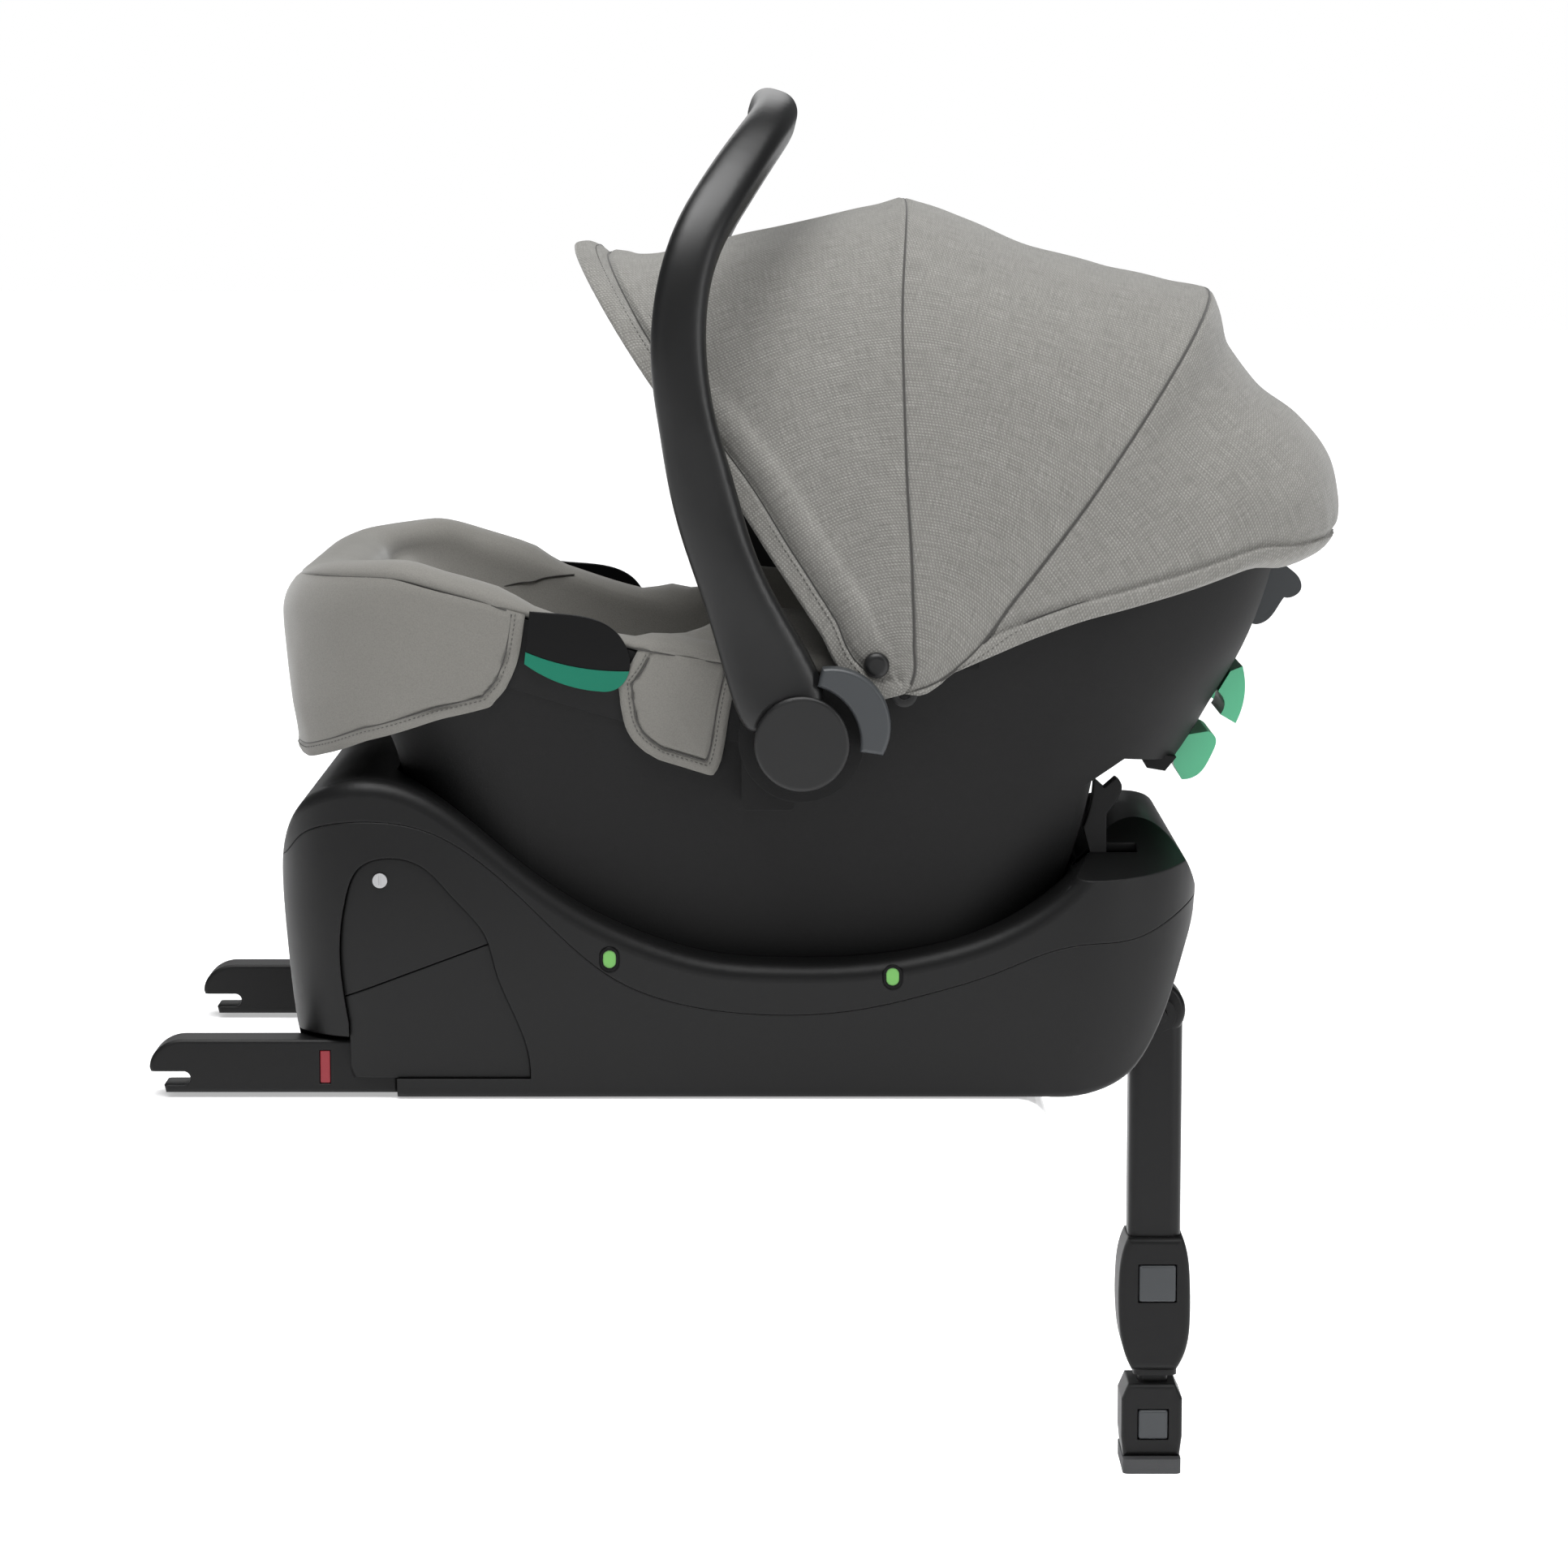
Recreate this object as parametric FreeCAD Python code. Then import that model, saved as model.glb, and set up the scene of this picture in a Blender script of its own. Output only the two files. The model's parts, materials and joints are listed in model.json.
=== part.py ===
import FreeCAD, Part
import math
import os

# Infant car seat on its vehicle base, in millimetres.
#
# The carrier (shell, liner, soft trim, harness, handle and folding canopy) sits in the
# cradle of a base that latches to a car's two anchor bars and props on a support leg.
#
# Frame: +Z up, -X towards the child's feet (the anchor side), +X towards the head.
# Origin: on the mid plane, on the face the base rests on, under the middle of the base.
# Every piece is one STEP file in parts/, named after the node.

V = FreeCAD.Vector
Y_AXIS = V(0, 1, 0)
SIDES = ("left", "right")

# ---------------------------------------------------------------- driving dimensions
length_factor = 1.0           # stretches every outline along X; 1.0 is the real object
shell_half_width = 186.0      # carrier shell at its rim
rail_half_width = 176.0       # base at its side rails
wall = 4.0                    # moulded shell wall
floor_wall = 6.0              # shell under the seat, and round its lower edges
shell_rounding = 12.0
base_wall = 5.0               # base moulding wall, thick enough for its rounded rails
soft_gap = 0.6                # soft pieces clear their neighbours by this
run_gap = 0.6                 # pieces that move past each other
seam_gap = 0.4                # parting lines

hub_radius = 41.0             # carry handle hub
hub_cap_radius = 28.4
hub_thickness = 24.0
hub_z = 225.5
arm_gap = 9.5                 # shell side to the inside of the handle
grip_top_z = 616.0
pivot_pin_radius = 9.0

canopy_pivot_z = 252.0
cloth = 2.0                   # canopy cloth, as a closed solid
bow_width = 7.0
bow_thickness = 2.2

anchor_spacing = 280.0        # between the two latch arms, centre to centre
anchor_arm_width = 26.0
anchor_arm_height = 33.0
anchor_slot_radius = 4.3      # for a 6 mm anchor bar with its lead-in
anchor_travel = 60.0

leg_x = 272.0
leg_hinge_z = 29.0
leg_tube_x = 34.0             # outer tube, along X
leg_tube_y = 30.0
leg_tube_wall = 2.0
leg_button_travel = 3.0
lower_well_y = 12.2           # depth of the lower button's well, from the mid plane
dock_clearance = 2.0          # carrier bottom to the cradle


def sx(x):
    """A place along X, stretched with the object's length."""
    return x * length_factor


hub_x = sx(43.4)
canopy_pivot_x = sx(105.0)
leg_hinge_x = sx(leg_x)


# ---------------------------------------------------------------- small tools
def points(pairs, y=0.0):
    """(x, z) pairs of a side outline as vectors, stretched along X."""
    return [V(sx(x), y, z) for x, z in pairs]


def spread(pairs, grow):
    """(x, z) pairs moved away from their middle, so the outline's sides move by grow."""
    xs, zs = [p[0] for p in pairs], [p[1] for p in pairs]
    cx, cz = (min(xs) + max(xs)) / 2, (min(zs) + max(zs)) / 2
    kx = 1 + 2 * grow / (max(xs) - min(xs))
    kz = 1 + 2 * grow / (max(zs) - min(zs))
    return [(cx + (x - cx) * kx, cz + (z - cz) * kz) for x, z in pairs]


def spline(pts):
    curve = Part.BSplineCurve()
    curve.interpolate(pts)
    return curve.toShape()


def outline(*runs):
    """A closed wire of runs: a run of two points is a line, a longer one a smooth curve."""
    edges = []
    for run in runs:
        if len(run) == 2:
            edges.append(Part.makeLine(run[0], run[1]))
        else:
            edges.append(spline(run))
    return Part.Wire(edges)


def slab(wire, y0, y1):
    """A wire in an XZ plane at y = 0, made a solid from y0 to y1."""
    face = Part.Face(wire)
    face.translate(V(0, y0, 0))
    return face.extrude(V(0, y1 - y0, 0))


def box(x0, x1, y0, y1, z0, z1):
    return Part.makeBox(x1 - x0, y1 - y0, z1 - z0, V(x0, y0, z0))


def block(x0, x1, y0, y1, z0, z1, radius, along=None):
    """A box with its edges rounded: all of them, or those that run along one axis."""
    solid = box(x0, x1, y0, y1, z0, z1)
    edges = []
    for edge in solid.Edges:
        d = edge.tangentAt(edge.FirstParameter)
        if along is None or abs(getattr(d, along)) > 0.9:
            edges.append(edge)
    return solid.makeFillet(radius, edges)


def sharp_edges(solid, z_low, z_high):
    """Edges whose two faces meet at more than 20 degrees, between two heights."""
    found = []
    for edge in solid.Edges:
        faces = solid.ancestorsOfType(edge, Part.Face)
        if len(faces) < 2 or not z_low < edge.CenterOfMass.z < z_high:
            continue
        middle = edge.valueAt((edge.FirstParameter + edge.LastParameter) / 2)
        normals = [f.normalAt(*f.Surface.parameter(middle)) for f in faces[:2]]
        if math.degrees(normals[0].getAngle(normals[1])) > 20:
            found.append(edge)
    return found


def rod(x, y0, y1, z, radius):
    """A cylinder along Y."""
    return Part.makeCylinder(radius, y1 - y0, V(x, y0, z), Y_AXIS)


def fuse(first, *others):
    solid = first
    for other in others:
        solid = solid.fuse(other)
    return solid.removeSplitter()


def cut(solid, *tools):
    for tool in tools:
        solid = solid.cut(tool)
    return solid


def mirrored(shape):
    return shape.mirror(V(0, 0, 0), Y_AXIS)


def on_side(shape, side):
    """A piece modelled at -Y, for the left side, or its mirror image for the right."""
    return shape if side == "left" else mirrored(shape)


def both(shape):
    return Part.makeCompound([shape, mirrored(shape)])


def plan_section(z, x0, x1, half, front_radius, rear_radius):
    """A horizontal rounded outline: two side edges, two end edges, four corner arcs."""
    k = math.sqrt(0.5)

    def corner(cx, cy, r, ax, ay):
        start = V(cx + r * ax[0], cy + r * ax[1], z)
        end = V(cx + r * ay[0], cy + r * ay[1], z)
        middle = V(cx + r * k * (ax[0] + ay[0]), cy + r * k * (ax[1] + ay[1]), z)
        return start, middle, end

    f, r = front_radius, rear_radius
    arcs = [
        corner(x0 + f, half - f, f, (-1, 0), (0, 1)),
        corner(x1 - r, half - r, r, (0, 1), (1, 0)),
        corner(x1 - r, -half + r, r, (1, 0), (0, -1)),
        corner(x0 + f, -half + f, f, (0, -1), (-1, 0)),
    ]
    edges = []
    for n, (start, middle, end) in enumerate(arcs):
        edges.append(Part.Arc(start, middle, end).toShape())
        edges.append(Part.makeLine(end, arcs[(n + 1) % 4][0]))
    return Part.Wire(edges)


def plan_loft(sections, grow=0.0):
    """A solid through horizontal outlines (z, x0, x1, half width, corner radii), grown outwards."""
    wires = []
    for z, x0, x1, half, rf, rr in sections:
        wires.append(plan_section(z, sx(x0) - grow, sx(x1) + grow, half + grow,
                                  rf + grow, rr + grow))
    return Part.makeLoft(wires, True, False)


nodes = {}


def keep(name, shape):
    """Stores a node, as one solid or a compound of separate solids."""
    solids = shape.Solids
    if not solids or any(not s.isValid() or s.Volume <= 0 for s in solids):
        raise ValueError("bad solid in " + name)
    nodes[name] = solids[0] if len(solids) == 1 else Part.makeCompound(solids)


# ---------------------------------------------------------------- carrier shell
shell_rim = [(-248, 312), (-206, 320), (-167, 311), (-120, 297), (-60, 279), (0, 268),
             (60, 262), (112, 268), (170, 288), (240, 312), (338, 346)]
shell_bottom = [(-198, 180), (-165, 158), (-128, 130), (-88, 105), (-49, 87), (-10, 77),
                (30, 74), (79, 76), (124, 83), (168, 98), (202, 122)]
shell_sections = [
    (60, -180, 205, 136, 70, 80),
    (140, -197, 236, 150, 74, 86),
    (205, -207, 280, 165, 78, 92),
    (235, -222, 296, 171, 80, 94),
    (262, -247, 312, 177, 84, 96),
    (310, -257, 334, 184, 88, 98),
    (372, -262, 356, 190, 90, 100),
]
band_height = 46.0
band_proud = 2.2
lining = 8.0                  # padded cover inside the bucket
pad_thickness = 18.0          # seat and back pad
cabin_inset = 30.0            # shell's outer face to the cover's inner face
skirt_inner = 2.8             # outer trim stands off the shell face by this
skirt_outer = 5.8
crotch_x = -45.0              # where the crotch strap comes up through the seat
crotch_half = 15.0


def tied(sections, half_width, drawn_half_width):
    """Plan sections with widths and corners tied to a half width."""
    k = half_width / drawn_half_width
    return [(z, x0, x1, half * k, rf * k, rr * k) for z, x0, x1, half, rf, rr in sections]


def shell_plan(grow):
    return plan_loft(tied(shell_sections, shell_half_width, 186.0), grow)


def shell_profile(inset):
    """The side outline of the shell up to a straight top, inset from its outer face."""
    i = inset
    bottom = [V(p.x, 0, p.z + i) for p in points(shell_bottom)]
    first, last = bottom[0], bottom[-1]
    start = V(first.x + i, 0, first.z)
    knee, notch = V(sx(213) - i, 0, 160), V(sx(220.5) - i, 0, 196)
    under = V(sx(240) - i, 0, 208.5 + i)
    heel = V(sx(273) - i, 0, 204 + i)
    waist, nape = V(sx(308) - i, 0, 258.5), V(sx(331) - i, 0, 327)
    crown = V(sx(345) - i, 0, 372)
    toe_top = V(sx(-262) + i, 0, 372)
    toe = [V(sx(x) + i, 0, z) for x, z in [(-256, 305), (-240, 255), (-214, 226)]]
    return outline([toe[-1], start], [start] + bottom[1:], [last, knee, notch],
                   [notch, under], [under, heel], [heel, waist, nape], [nape, crown],
                   [crown, toe_top], [toe_top] + toe)


def above_rim(lift):
    """Everything above the rim curve, lifted by lift."""
    rim = [V(p.x, 0, p.z + lift) for p in points(shell_rim)]
    a = V(rim[0].x - 60, 0, rim[0].z)
    b = V(rim[-1].x + 60, 0, rim[-1].z + 20)
    top_a, top_b = V(a.x, 0, 700), V(b.x, 0, 700)
    wire = outline([a, rim[0]], rim, [rim[-1], b], [b, top_b], [top_b, top_a], [top_a, a])
    return slab(wire, -420, 420)


def shell_body(grow, inset, lift):
    """The bucket as a full solid: grown sideways, inset in profile, cut at the rim."""
    body = shell_plan(grow).common(slab(shell_profile(inset), -300, 300))
    return body.cut(above_rim(lift))


def hub_disc(y0, y1, radius):
    return rod(hub_x, y0, y1, hub_z, radius)


cabin_floor = [(-236, 326), (-200, 292), (-160, 246), (-110, 196), (-60, 160), (-10, 142),
               (40, 138), (90, 150), (150, 186), (210, 232), (270, 284), (330, 346)]


def floor_curve(lift):
    return [V(p.x, 0, p.z + lift) for p in points(cabin_floor)]


def cabin(grow):
    """The space inside the padded cover, grown outwards into it."""
    floor = floor_curve(-grow)
    a, b = floor[0], floor[-1]
    left, right = V(a.x - grow - 30, 0, a.z), V(b.x + grow + 30, 0, b.z)
    top_left, top_right = V(left.x, 0, 371), V(right.x, 0, 371)
    wire = outline([left, a], floor, [b, right], [right, top_right], [top_right, top_left],
                   [top_left, left])
    return shell_plan(grow - cabin_inset).common(slab(wire, -300, 300))


boss_face = shell_half_width + arm_gap - run_gap      # hub boss, outer face
hub_inner = shell_half_width + arm_gap                # inner face of the handle's hub
hub_outer = hub_inner + hub_thickness


def make_carrier():
    inner = shell_body(-wall, floor_wall, 30)
    shell = shell_body(0, 0, 0)
    lower_edges = [e for e in sharp_edges(shell, 60, 200) if abs(e.CenterOfMass.y) > 60]
    shell = shell.makeFillet(shell_rounding, lower_edges).cut(inner)
    # a raised band under the rim ahead of the hub
    band = shell_plan(band_proud).cut(shell_plan(-1.0))
    band = band.cut(above_rim(-1)).common(above_rim(-band_height))
    band = band.common(box(sx(-200), hub_x, -300, 300, 0, 400))
    shell = fuse(shell, band)
    # bosses and pins for the carry handle
    boss = hub_disc(-boss_face, -(shell_half_width - 26), hub_radius - 3)
    lug = block(hub_x - 36, hub_x - 4, -boss_face + 1, -(shell_half_width - 26),
                hub_z - hub_radius - 2, hub_z - 8, 3, "y")
    boss = boss.fuse(lug).cut(inner)
    pin = hub_disc(-(hub_outer - 6), -boss_face + 1, pivot_pin_radius)
    # canopy pivot pins
    canopy_pin = rod(canopy_pivot_x, -(canopy_half - cloth - 0.6), -(shell_half_width - 18),
                     canopy_pivot_z, 3.0).cut(inner)
    # flats behind the canopy bows' eyes
    flat_y = 180.5 - bow_thickness - 0.5
    flat = box(sx(92), sx(150), -220, -flat_y, 238, 300)
    shell = shell.cut(flat).cut(mirrored(flat))
    shell = fuse(shell, boss, mirrored(boss), pin, mirrored(pin), canopy_pin,
                 mirrored(canopy_pin))
    # small foot under the heel at each side
    foot = outline(points([(250, 211), (255.8, 199.4)]), points([(255.8, 199.4), (267, 197.5)]),
                   points([(267, 197.5), (274, 206)]), points([(274, 206), (250, 211)]))
    foot = slab(foot, -122, -86)
    shell = fuse(shell, foot, mirrored(foot))
    keep("carrier_shell", shell)

    # energy absorbing foam between the shell and the padded cover
    foam = shell_body(-wall - soft_gap, floor_wall + soft_gap, -8)
    foam = foam.cut(cabin(lining + soft_gap))
    keep("foam_liner", foam)

    # padded cover: lining, roll over the rim, skirt over the toe, flap ahead of the hub
    lining_solid = cabin(lining).cut(cabin(0)).cut(above_rim(6))
    split_x = sx(68)
    front_box = box(sx(-400), split_x, -300, 300, 0, 700)
    roll = cover_plan(0).cut(cabin(0)).cut(above_rim(12)).common(above_rim(-6))
    roll = roll.common(front_box)
    rear_roll = shell_plan(-wall - soft_gap).cut(cabin(0)).cut(above_rim(6))
    rear_roll = rear_roll.common(above_rim(-7)).common(
        box(split_x - 1, sx(400), -300, 300, 0, 700))
    skirt_lower = [(-263, 212), (-253, 208), (-224, 222), (-194, 232), (-165, 239),
                   (-141, 248), (-130, 259)]
    skirt_rear = [(-130, 259), (-126, 279), (-122, 303)]
    skirt = outline(points([(-300, 330), (-300, 212)]), points([(-300, 212), (-263, 212)]),
                    points(skirt_lower), points(skirt_rear),
                    points([(-122, 303), (-122, 330)]), points([(-122, 330), (-300, 330)]))
    skirt = cover_plan(0).common(slab(skirt, -300, 300)).cut(above_rim(12))
    skirt = skirt.cut(cabin(0)).cut(inner)
    flap_edge = [(-56, 281), (-59, 265), (-66, 240), (-58, 216), (-33, 208), (-12, 200.5)]
    flap_rear = [(-12, 200.5), (-5, 208), (0, 225), (3, 245), (6, 262), (8, 284)]
    flap = outline(points(flap_edge), points(flap_rear), points([(8, 284), (-56, 281)]))
    flap = cover_plan(0).common(slab(flap, -300, 300)).cut(shell_plan(skirt_inner))
    boss_clear = hub_disc(-300, 300, hub_radius + 1)
    flap = flap.cut(boss_clear)
    keep_out = shell_plan(skirt_inner).common(slab(shell_profile(-skirt_inner), -300, 300))
    keep_out = keep_out.cut(above_rim(soft_gap)).cut(
        shell_body(-wall - soft_gap, floor_wall + soft_gap, 30))
    cover = fuse(lining_solid, roll, rear_roll, skirt, flap)
    wing_room = shell_plan(9).cut(shell_plan(1.5)).common(wing_slab(0.6))
    strap_slot = box(sx(crotch_x) - 2, sx(crotch_x) + 2, -crotch_half - soft_gap,
                     crotch_half + soft_gap, 100, 300)
    cover = cut(cover, keep_out, boss_clear.cut(inner), wing_room, mirrored(wing_room),
                strap_slot)
    body = max(cover.Solids, key=lambda s: s.Volume)
    keep("seat_cover", body)


def cover_plan(grow):
    """Plan of the soft cover where it wraps outside the shell."""
    sections = []
    for z, x0, x1, half, rf, rr in shell_sections:
        toe = -262 - (z - 200) * 0.06
        sections.append((z, min(x0 - skirt_outer, toe), x1 + skirt_outer,
                         half + skirt_outer, rf + skirt_outer, rr + skirt_outer))
    return plan_loft(tied(sections, shell_half_width + skirt_outer, 186.0 + skirt_outer), grow)


wing_corners = [(-119.5, 302), (-96, 300), (-74, 294), (-62, 281), (-59.5, 272), (-63, 259),
                (-77, 253), (-101, 258), (-123, 270)]


def wing_slab(grow):
    p = points(spread(wing_corners, grow))
    wire = outline(p[:4], p[3:7], p[6:], [p[-1], p[0]])
    return slab(wire, -300, -100)


def make_side_trim():
    """Glossy wing and the coloured strip under it, on each side of the shell."""
    ring = shell_plan(6.6).cut(shell_plan(skirt_inner))
    strip = outline(points([(-130, 281), (-101, 270), (-77, 266), (-50, 266)]),
                    points([(-50, 266), (-50, 240)]), points([(-50, 240), (-130, 240)]),
                    points([(-130, 240), (-130, 281)]))
    strip = slab(strip, -300, -100)
    keep("side_wing", both(ring.common(wing_slab(0)).cut(strip)))
    lower = wing_slab(0).common(strip)
    keep("wing_strip", both(shell_plan(7.2).cut(shell_plan(skirt_inner)).common(lower)))


def make_back_parts():
    upper = outline(points([(309, 256.5), (316.5, 259.5)]),
                    points([(316.5, 259.5), (318, 243), (312.5, 224)]),
                    points([(312.5, 224), (303, 229.5)]),
                    points([(303, 229.5), (305.5, 237), (301.5, 244)]),
                    points([(301.5, 244), (309, 256.5)]))
    lower = outline(points([(283, 217), (295.5, 219)]),
                    points([(295.5, 219), (300.5, 214), (298, 205), (290, 192.5),
                            (279.5, 189)]),
                    points([(279.5, 189), (274.5, 198)]),
                    points([(274.5, 198), (274.2, 203), (283, 217)]))
    guide = fuse(slab(upper, -96, -30), slab(lower, -96, -30))
    shell = shell_body(soft_gap / 2, -soft_gap / 2, 30)
    guide = guide.cut(shell)
    keep("belt_guide", Part.makeCompound(guide.Solids + mirrored(guide).Solids))

    lever = outline(points([(331, 327), (340, 324.5)]),
                    points([(340, 324.5), (350, 316), (356.5, 309), (357, 303), (354, 299.5),
                            (346.5, 298)]),
                    points([(346.5, 298), (343.5, 293.5), (338, 285.5), (329, 281)]),
                    points([(329, 281), (319, 283)]), points([(319, 283), (331, 327)]))
    lever = slab(lever, -48, 48).cut(shell_body(0, -1.2, 60))
    lever = max(lever.Solids, key=lambda s: s.Volume)
    keep("release_lever", lever)
    mount = outline(points([(331, 329), (341, 326.5)]), points([(341, 326.5), (343, 334)]),
                    points([(343, 334), (334, 340)]), points([(334, 340), (331, 329)]))
    mount = slab(mount, -54, 54).cut(shell_body(0, -0.4, 60))
    mount = max(mount.Solids, key=lambda s: s.Volume)
    keep("lever_mount", mount)


# ---------------------------------------------------------------- seat furniture
back_angle = 41.5             # slope of the back, from horizontal


def on_back(shape, s, lift):
    """Places a piece drawn flat at the origin on the sloping back, s along it."""
    base_x, base_z = sx(176), 206.0
    c, t = math.cos(math.radians(back_angle)), math.sin(math.radians(back_angle))
    copy = shape.copy()
    copy.rotate(V(0, 0, 0), Y_AXIS, -back_angle)
    copy.translate(V(base_x + s * c - lift * t, 0, base_z + s * t + lift * c))
    return copy


def strap_band(low, high, y0, y1):
    """A band following the harness run, between two heights above it."""
    run = [(-18, 178), (10, 169), (60, 162), (105, 178), (128, 191.5), (142, 200), (154, 203),
           (161, 197)]
    bottom = [V(sx(x), 0, z + low) for x, z in run]
    top = [V(sx(x), 0, z + high) for x, z in run]
    wire = outline(bottom, [bottom[-1], top[-1]], list(reversed(top)), [top[0], bottom[0]])
    return slab(wire, y0, y1)


def make_furniture():
    # seat and back pad
    low, high = floor_curve(soft_gap), floor_curve(pad_thickness)
    wire = outline(low, [low[-1], high[-1]], list(reversed(high)), [high[0], low[0]])
    pad = shell_plan(-cabin_inset - 8).common(slab(wire, -300, 300))
    pad = pad.common(box(sx(-196), sx(235), -300, 300, 0, 400))
    pad = pad.common(shell_body(-cabin_inset - 4, 10, -2))
    crotch_slot = box(sx(crotch_x) - 4, sx(crotch_x) + 4, -crotch_half - 2, crotch_half + 2,
                      100, 300)
    adjuster_hole = box(sx(-152), sx(-122), -17, 17, 150, 300)
    shoulder_slot = box(sx(148), sx(162), -53, -17, 100, 300)
    buckle_room = box(sx(crotch_x) - 21, sx(crotch_x) + 17, -20, 20, 175.8, 300)
    pad = cut(pad, crotch_slot, adjuster_hole, shoulder_slot, mirrored(shoulder_slot),
              buckle_room)
    keep("seat_pad", max(pad.Solids, key=lambda s: s.Volume))

    # headrest with side wings
    plate = block(0, 128, -96, 96, 0, 20, 6)
    wing = block(6, 122, -108, -86, 0, 74, 8)
    rest = fuse(plate, wing, mirrored(wing))
    keep("headrest", on_back(rest, 8, pad_thickness - 4.5))

    strap = strap_band(3.0, 5.2, -52, -18)
    pad_box = box(sx(46), sx(128), -300, 300, 0, 400)
    shoulder = strap_band(0.2, 10.0, -56, -14).common(pad_box)
    shoulder = shoulder.cut(strap_band(2.6, 5.6, -52.6, -17.4))
    keep("harness_strap", both(strap))
    keep("shoulder_pad", both(shoulder))

    # buckle on its crotch strap
    bx, bz = sx(crotch_x), 176.4
    crotch = box(bx - 1.4, bx + 1.4, -crotch_half, crotch_half, 146, bz - 0.4)
    keep("crotch_strap", crotch)
    body = block(bx - 20, bx + 16, -19, 19, bz, bz + 23.6, 5)
    tongue_slot = box(bx + 4, bx + 30, -17, 17, bz + 5.1, bz + 10.1)
    button_well = box(bx - 13, bx + 1, -11, 11, bz + 16.6, bz + 30)
    body = body.cut(tongue_slot).cut(button_well)
    keep("buckle_body", body)
    button = block(bx - 12.6, bx + 0.6, -10.6, 10.6, bz + 20.8, bz + 25.8, 1.5)
    keep("buckle_button", button)
    blade = box(bx + 4.4, bx + 17, -16.4, -1, bz + 5.6, bz + 9.6)
    plate = block(bx + 17, sx(-18) - 0.4, -54, -1, bz + 2.6, bz + 10, 1.2, "z")
    keep("harness_tongue", both(fuse(blade, plate)))

    # strap adjuster at the front edge of the seat
    bezel = block(-13, 13, -15, 15, -6, 2, 2, "z").cut(box(-9.4, 9.4, -11.4, 11.4, -2, 5))
    press = block(-9, 9, -11, 11, 1.6, 5.6, 1.5)
    placed = []
    for piece in (bezel, press):
        copy = piece.copy()
        copy.rotate(V(0, 0, 0), Y_AXIS, 45)
        copy.translate(V(sx(-137), 0, 232))
        placed.append(copy)
    keep("adjuster_bezel", placed[0])
    keep("adjuster_button", placed[1])


# ---------------------------------------------------------------- carry handle
handle_line = [(34.5, 0, 240), (10.2, 0, 300), (-9.4, 0, 353), (-20.4, 0.5, 396),
               (-28.8, 2, 444), (-27.6, 7, 490), (-17.5, 19, 525), (0.5, 44, 556),
               (19, 88, 583), (26, 140, 595)]
handle_width = [44, 43.5, 39, 36.5, 33.5, 31.5, 31, 31, 29, 28.5]
handle_depth = [19, 18, 18, 18, 18, 19, 21, 24, 27, 28]


def closed_oval(centre, across, depth_dir, width, depth):
    """A rounded-square closed curve about a centre, in the plane of two directions."""
    pts = []
    for n in range(16):
        a = 2 * math.pi * n / 16
        c, s = math.cos(a), math.sin(a)
        u = math.copysign(abs(c) ** 0.75, c) * width / 2
        v = math.copysign(abs(s) ** 0.75, s) * depth / 2
        pts.append(centre + across * u + depth_dir * v)
    curve = Part.BSplineCurve()
    curve.interpolate(pts, PeriodicFlag=True)
    return Part.Wire(curve.toShape())


def make_handle():
    arm_y = -(hub_inner + hub_thickness / 2)
    line = [V(sx(x), arm_y + y, z) for x, y, z in handle_line]
    line.append(V(sx(25), 0, grip_top_z - 15.5))
    widths = handle_width + [29]
    depths = handle_depth + [28]
    full = line + [V(p.x, -p.y, p.z) for p in reversed(line[:-1])]
    widths = widths + widths[-2::-1]
    depths = depths + depths[-2::-1]
    frames = []
    for n, p in enumerate(full):
        before, after = full[max(n - 1, 0)], full[min(n + 1, len(full) - 1)]
        along = (after - before).normalize()
        across = Y_AXIS.cross(along)
        if abs(along.y) > 0.75:
            across = along.cross(V(0, 0, 1))
        across.normalize()
        frames.append((p, along, across, widths[n], depths[n]))
    sections = []
    previous = None
    for p, along, across, w, d in frames:
        # carry the last frame along so the loft doesn't twist
        if previous is not None:
            across = previous - along * previous.dot(along)
            across.normalize()
        side = along.cross(across).normalize()
        previous = across
        sections.append(closed_oval(p, across, side, w, d))
    arch = Part.makeLoft(sections, True, False)
    hub = hub_disc(-hub_outer, -hub_inner, hub_radius)
    rim_edges = [e for e in hub.Edges if e.Closed and e.Curve.TypeId == "Part::GeomCircle"]
    outer = [e for e in rim_edges if abs(e.CenterOfMass.y + hub_outer) < 0.01]
    inner = [e for e in rim_edges if abs(e.CenterOfMass.y + hub_inner) < 0.01]
    hub = hub.makeFillet(8, outer).makeFillet(2, inner)
    handle = fuse(arch, hub, mirrored(hub))
    cap_seat = hub_disc(-hub_outer - 1, -hub_outer + 4, hub_cap_radius + 1.2)
    bore = hub_disc(-hub_outer + 5.4, -hub_inner + 1, pivot_pin_radius + run_gap)
    lobe = button_lobe(0.7, hub_outer - 2, hub_inner - 1)
    well = fuse(cap_seat, bore)
    handle = handle.cut(well).cut(mirrored(well)).cut(lobe).cut(mirrored(lobe))
    keep("carry_handle", max(handle.Solids, key=lambda s: s.Volume))
    cap = hub_disc(-hub_outer - 1.2, -hub_outer + 3.4, hub_cap_radius)
    edge = [e for e in cap.Edges if abs(e.CenterOfMass.y + hub_outer + 1.2) < 0.01]
    keep("hub_cap", both(cap.makeFillet(1.6, edge)))


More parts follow.
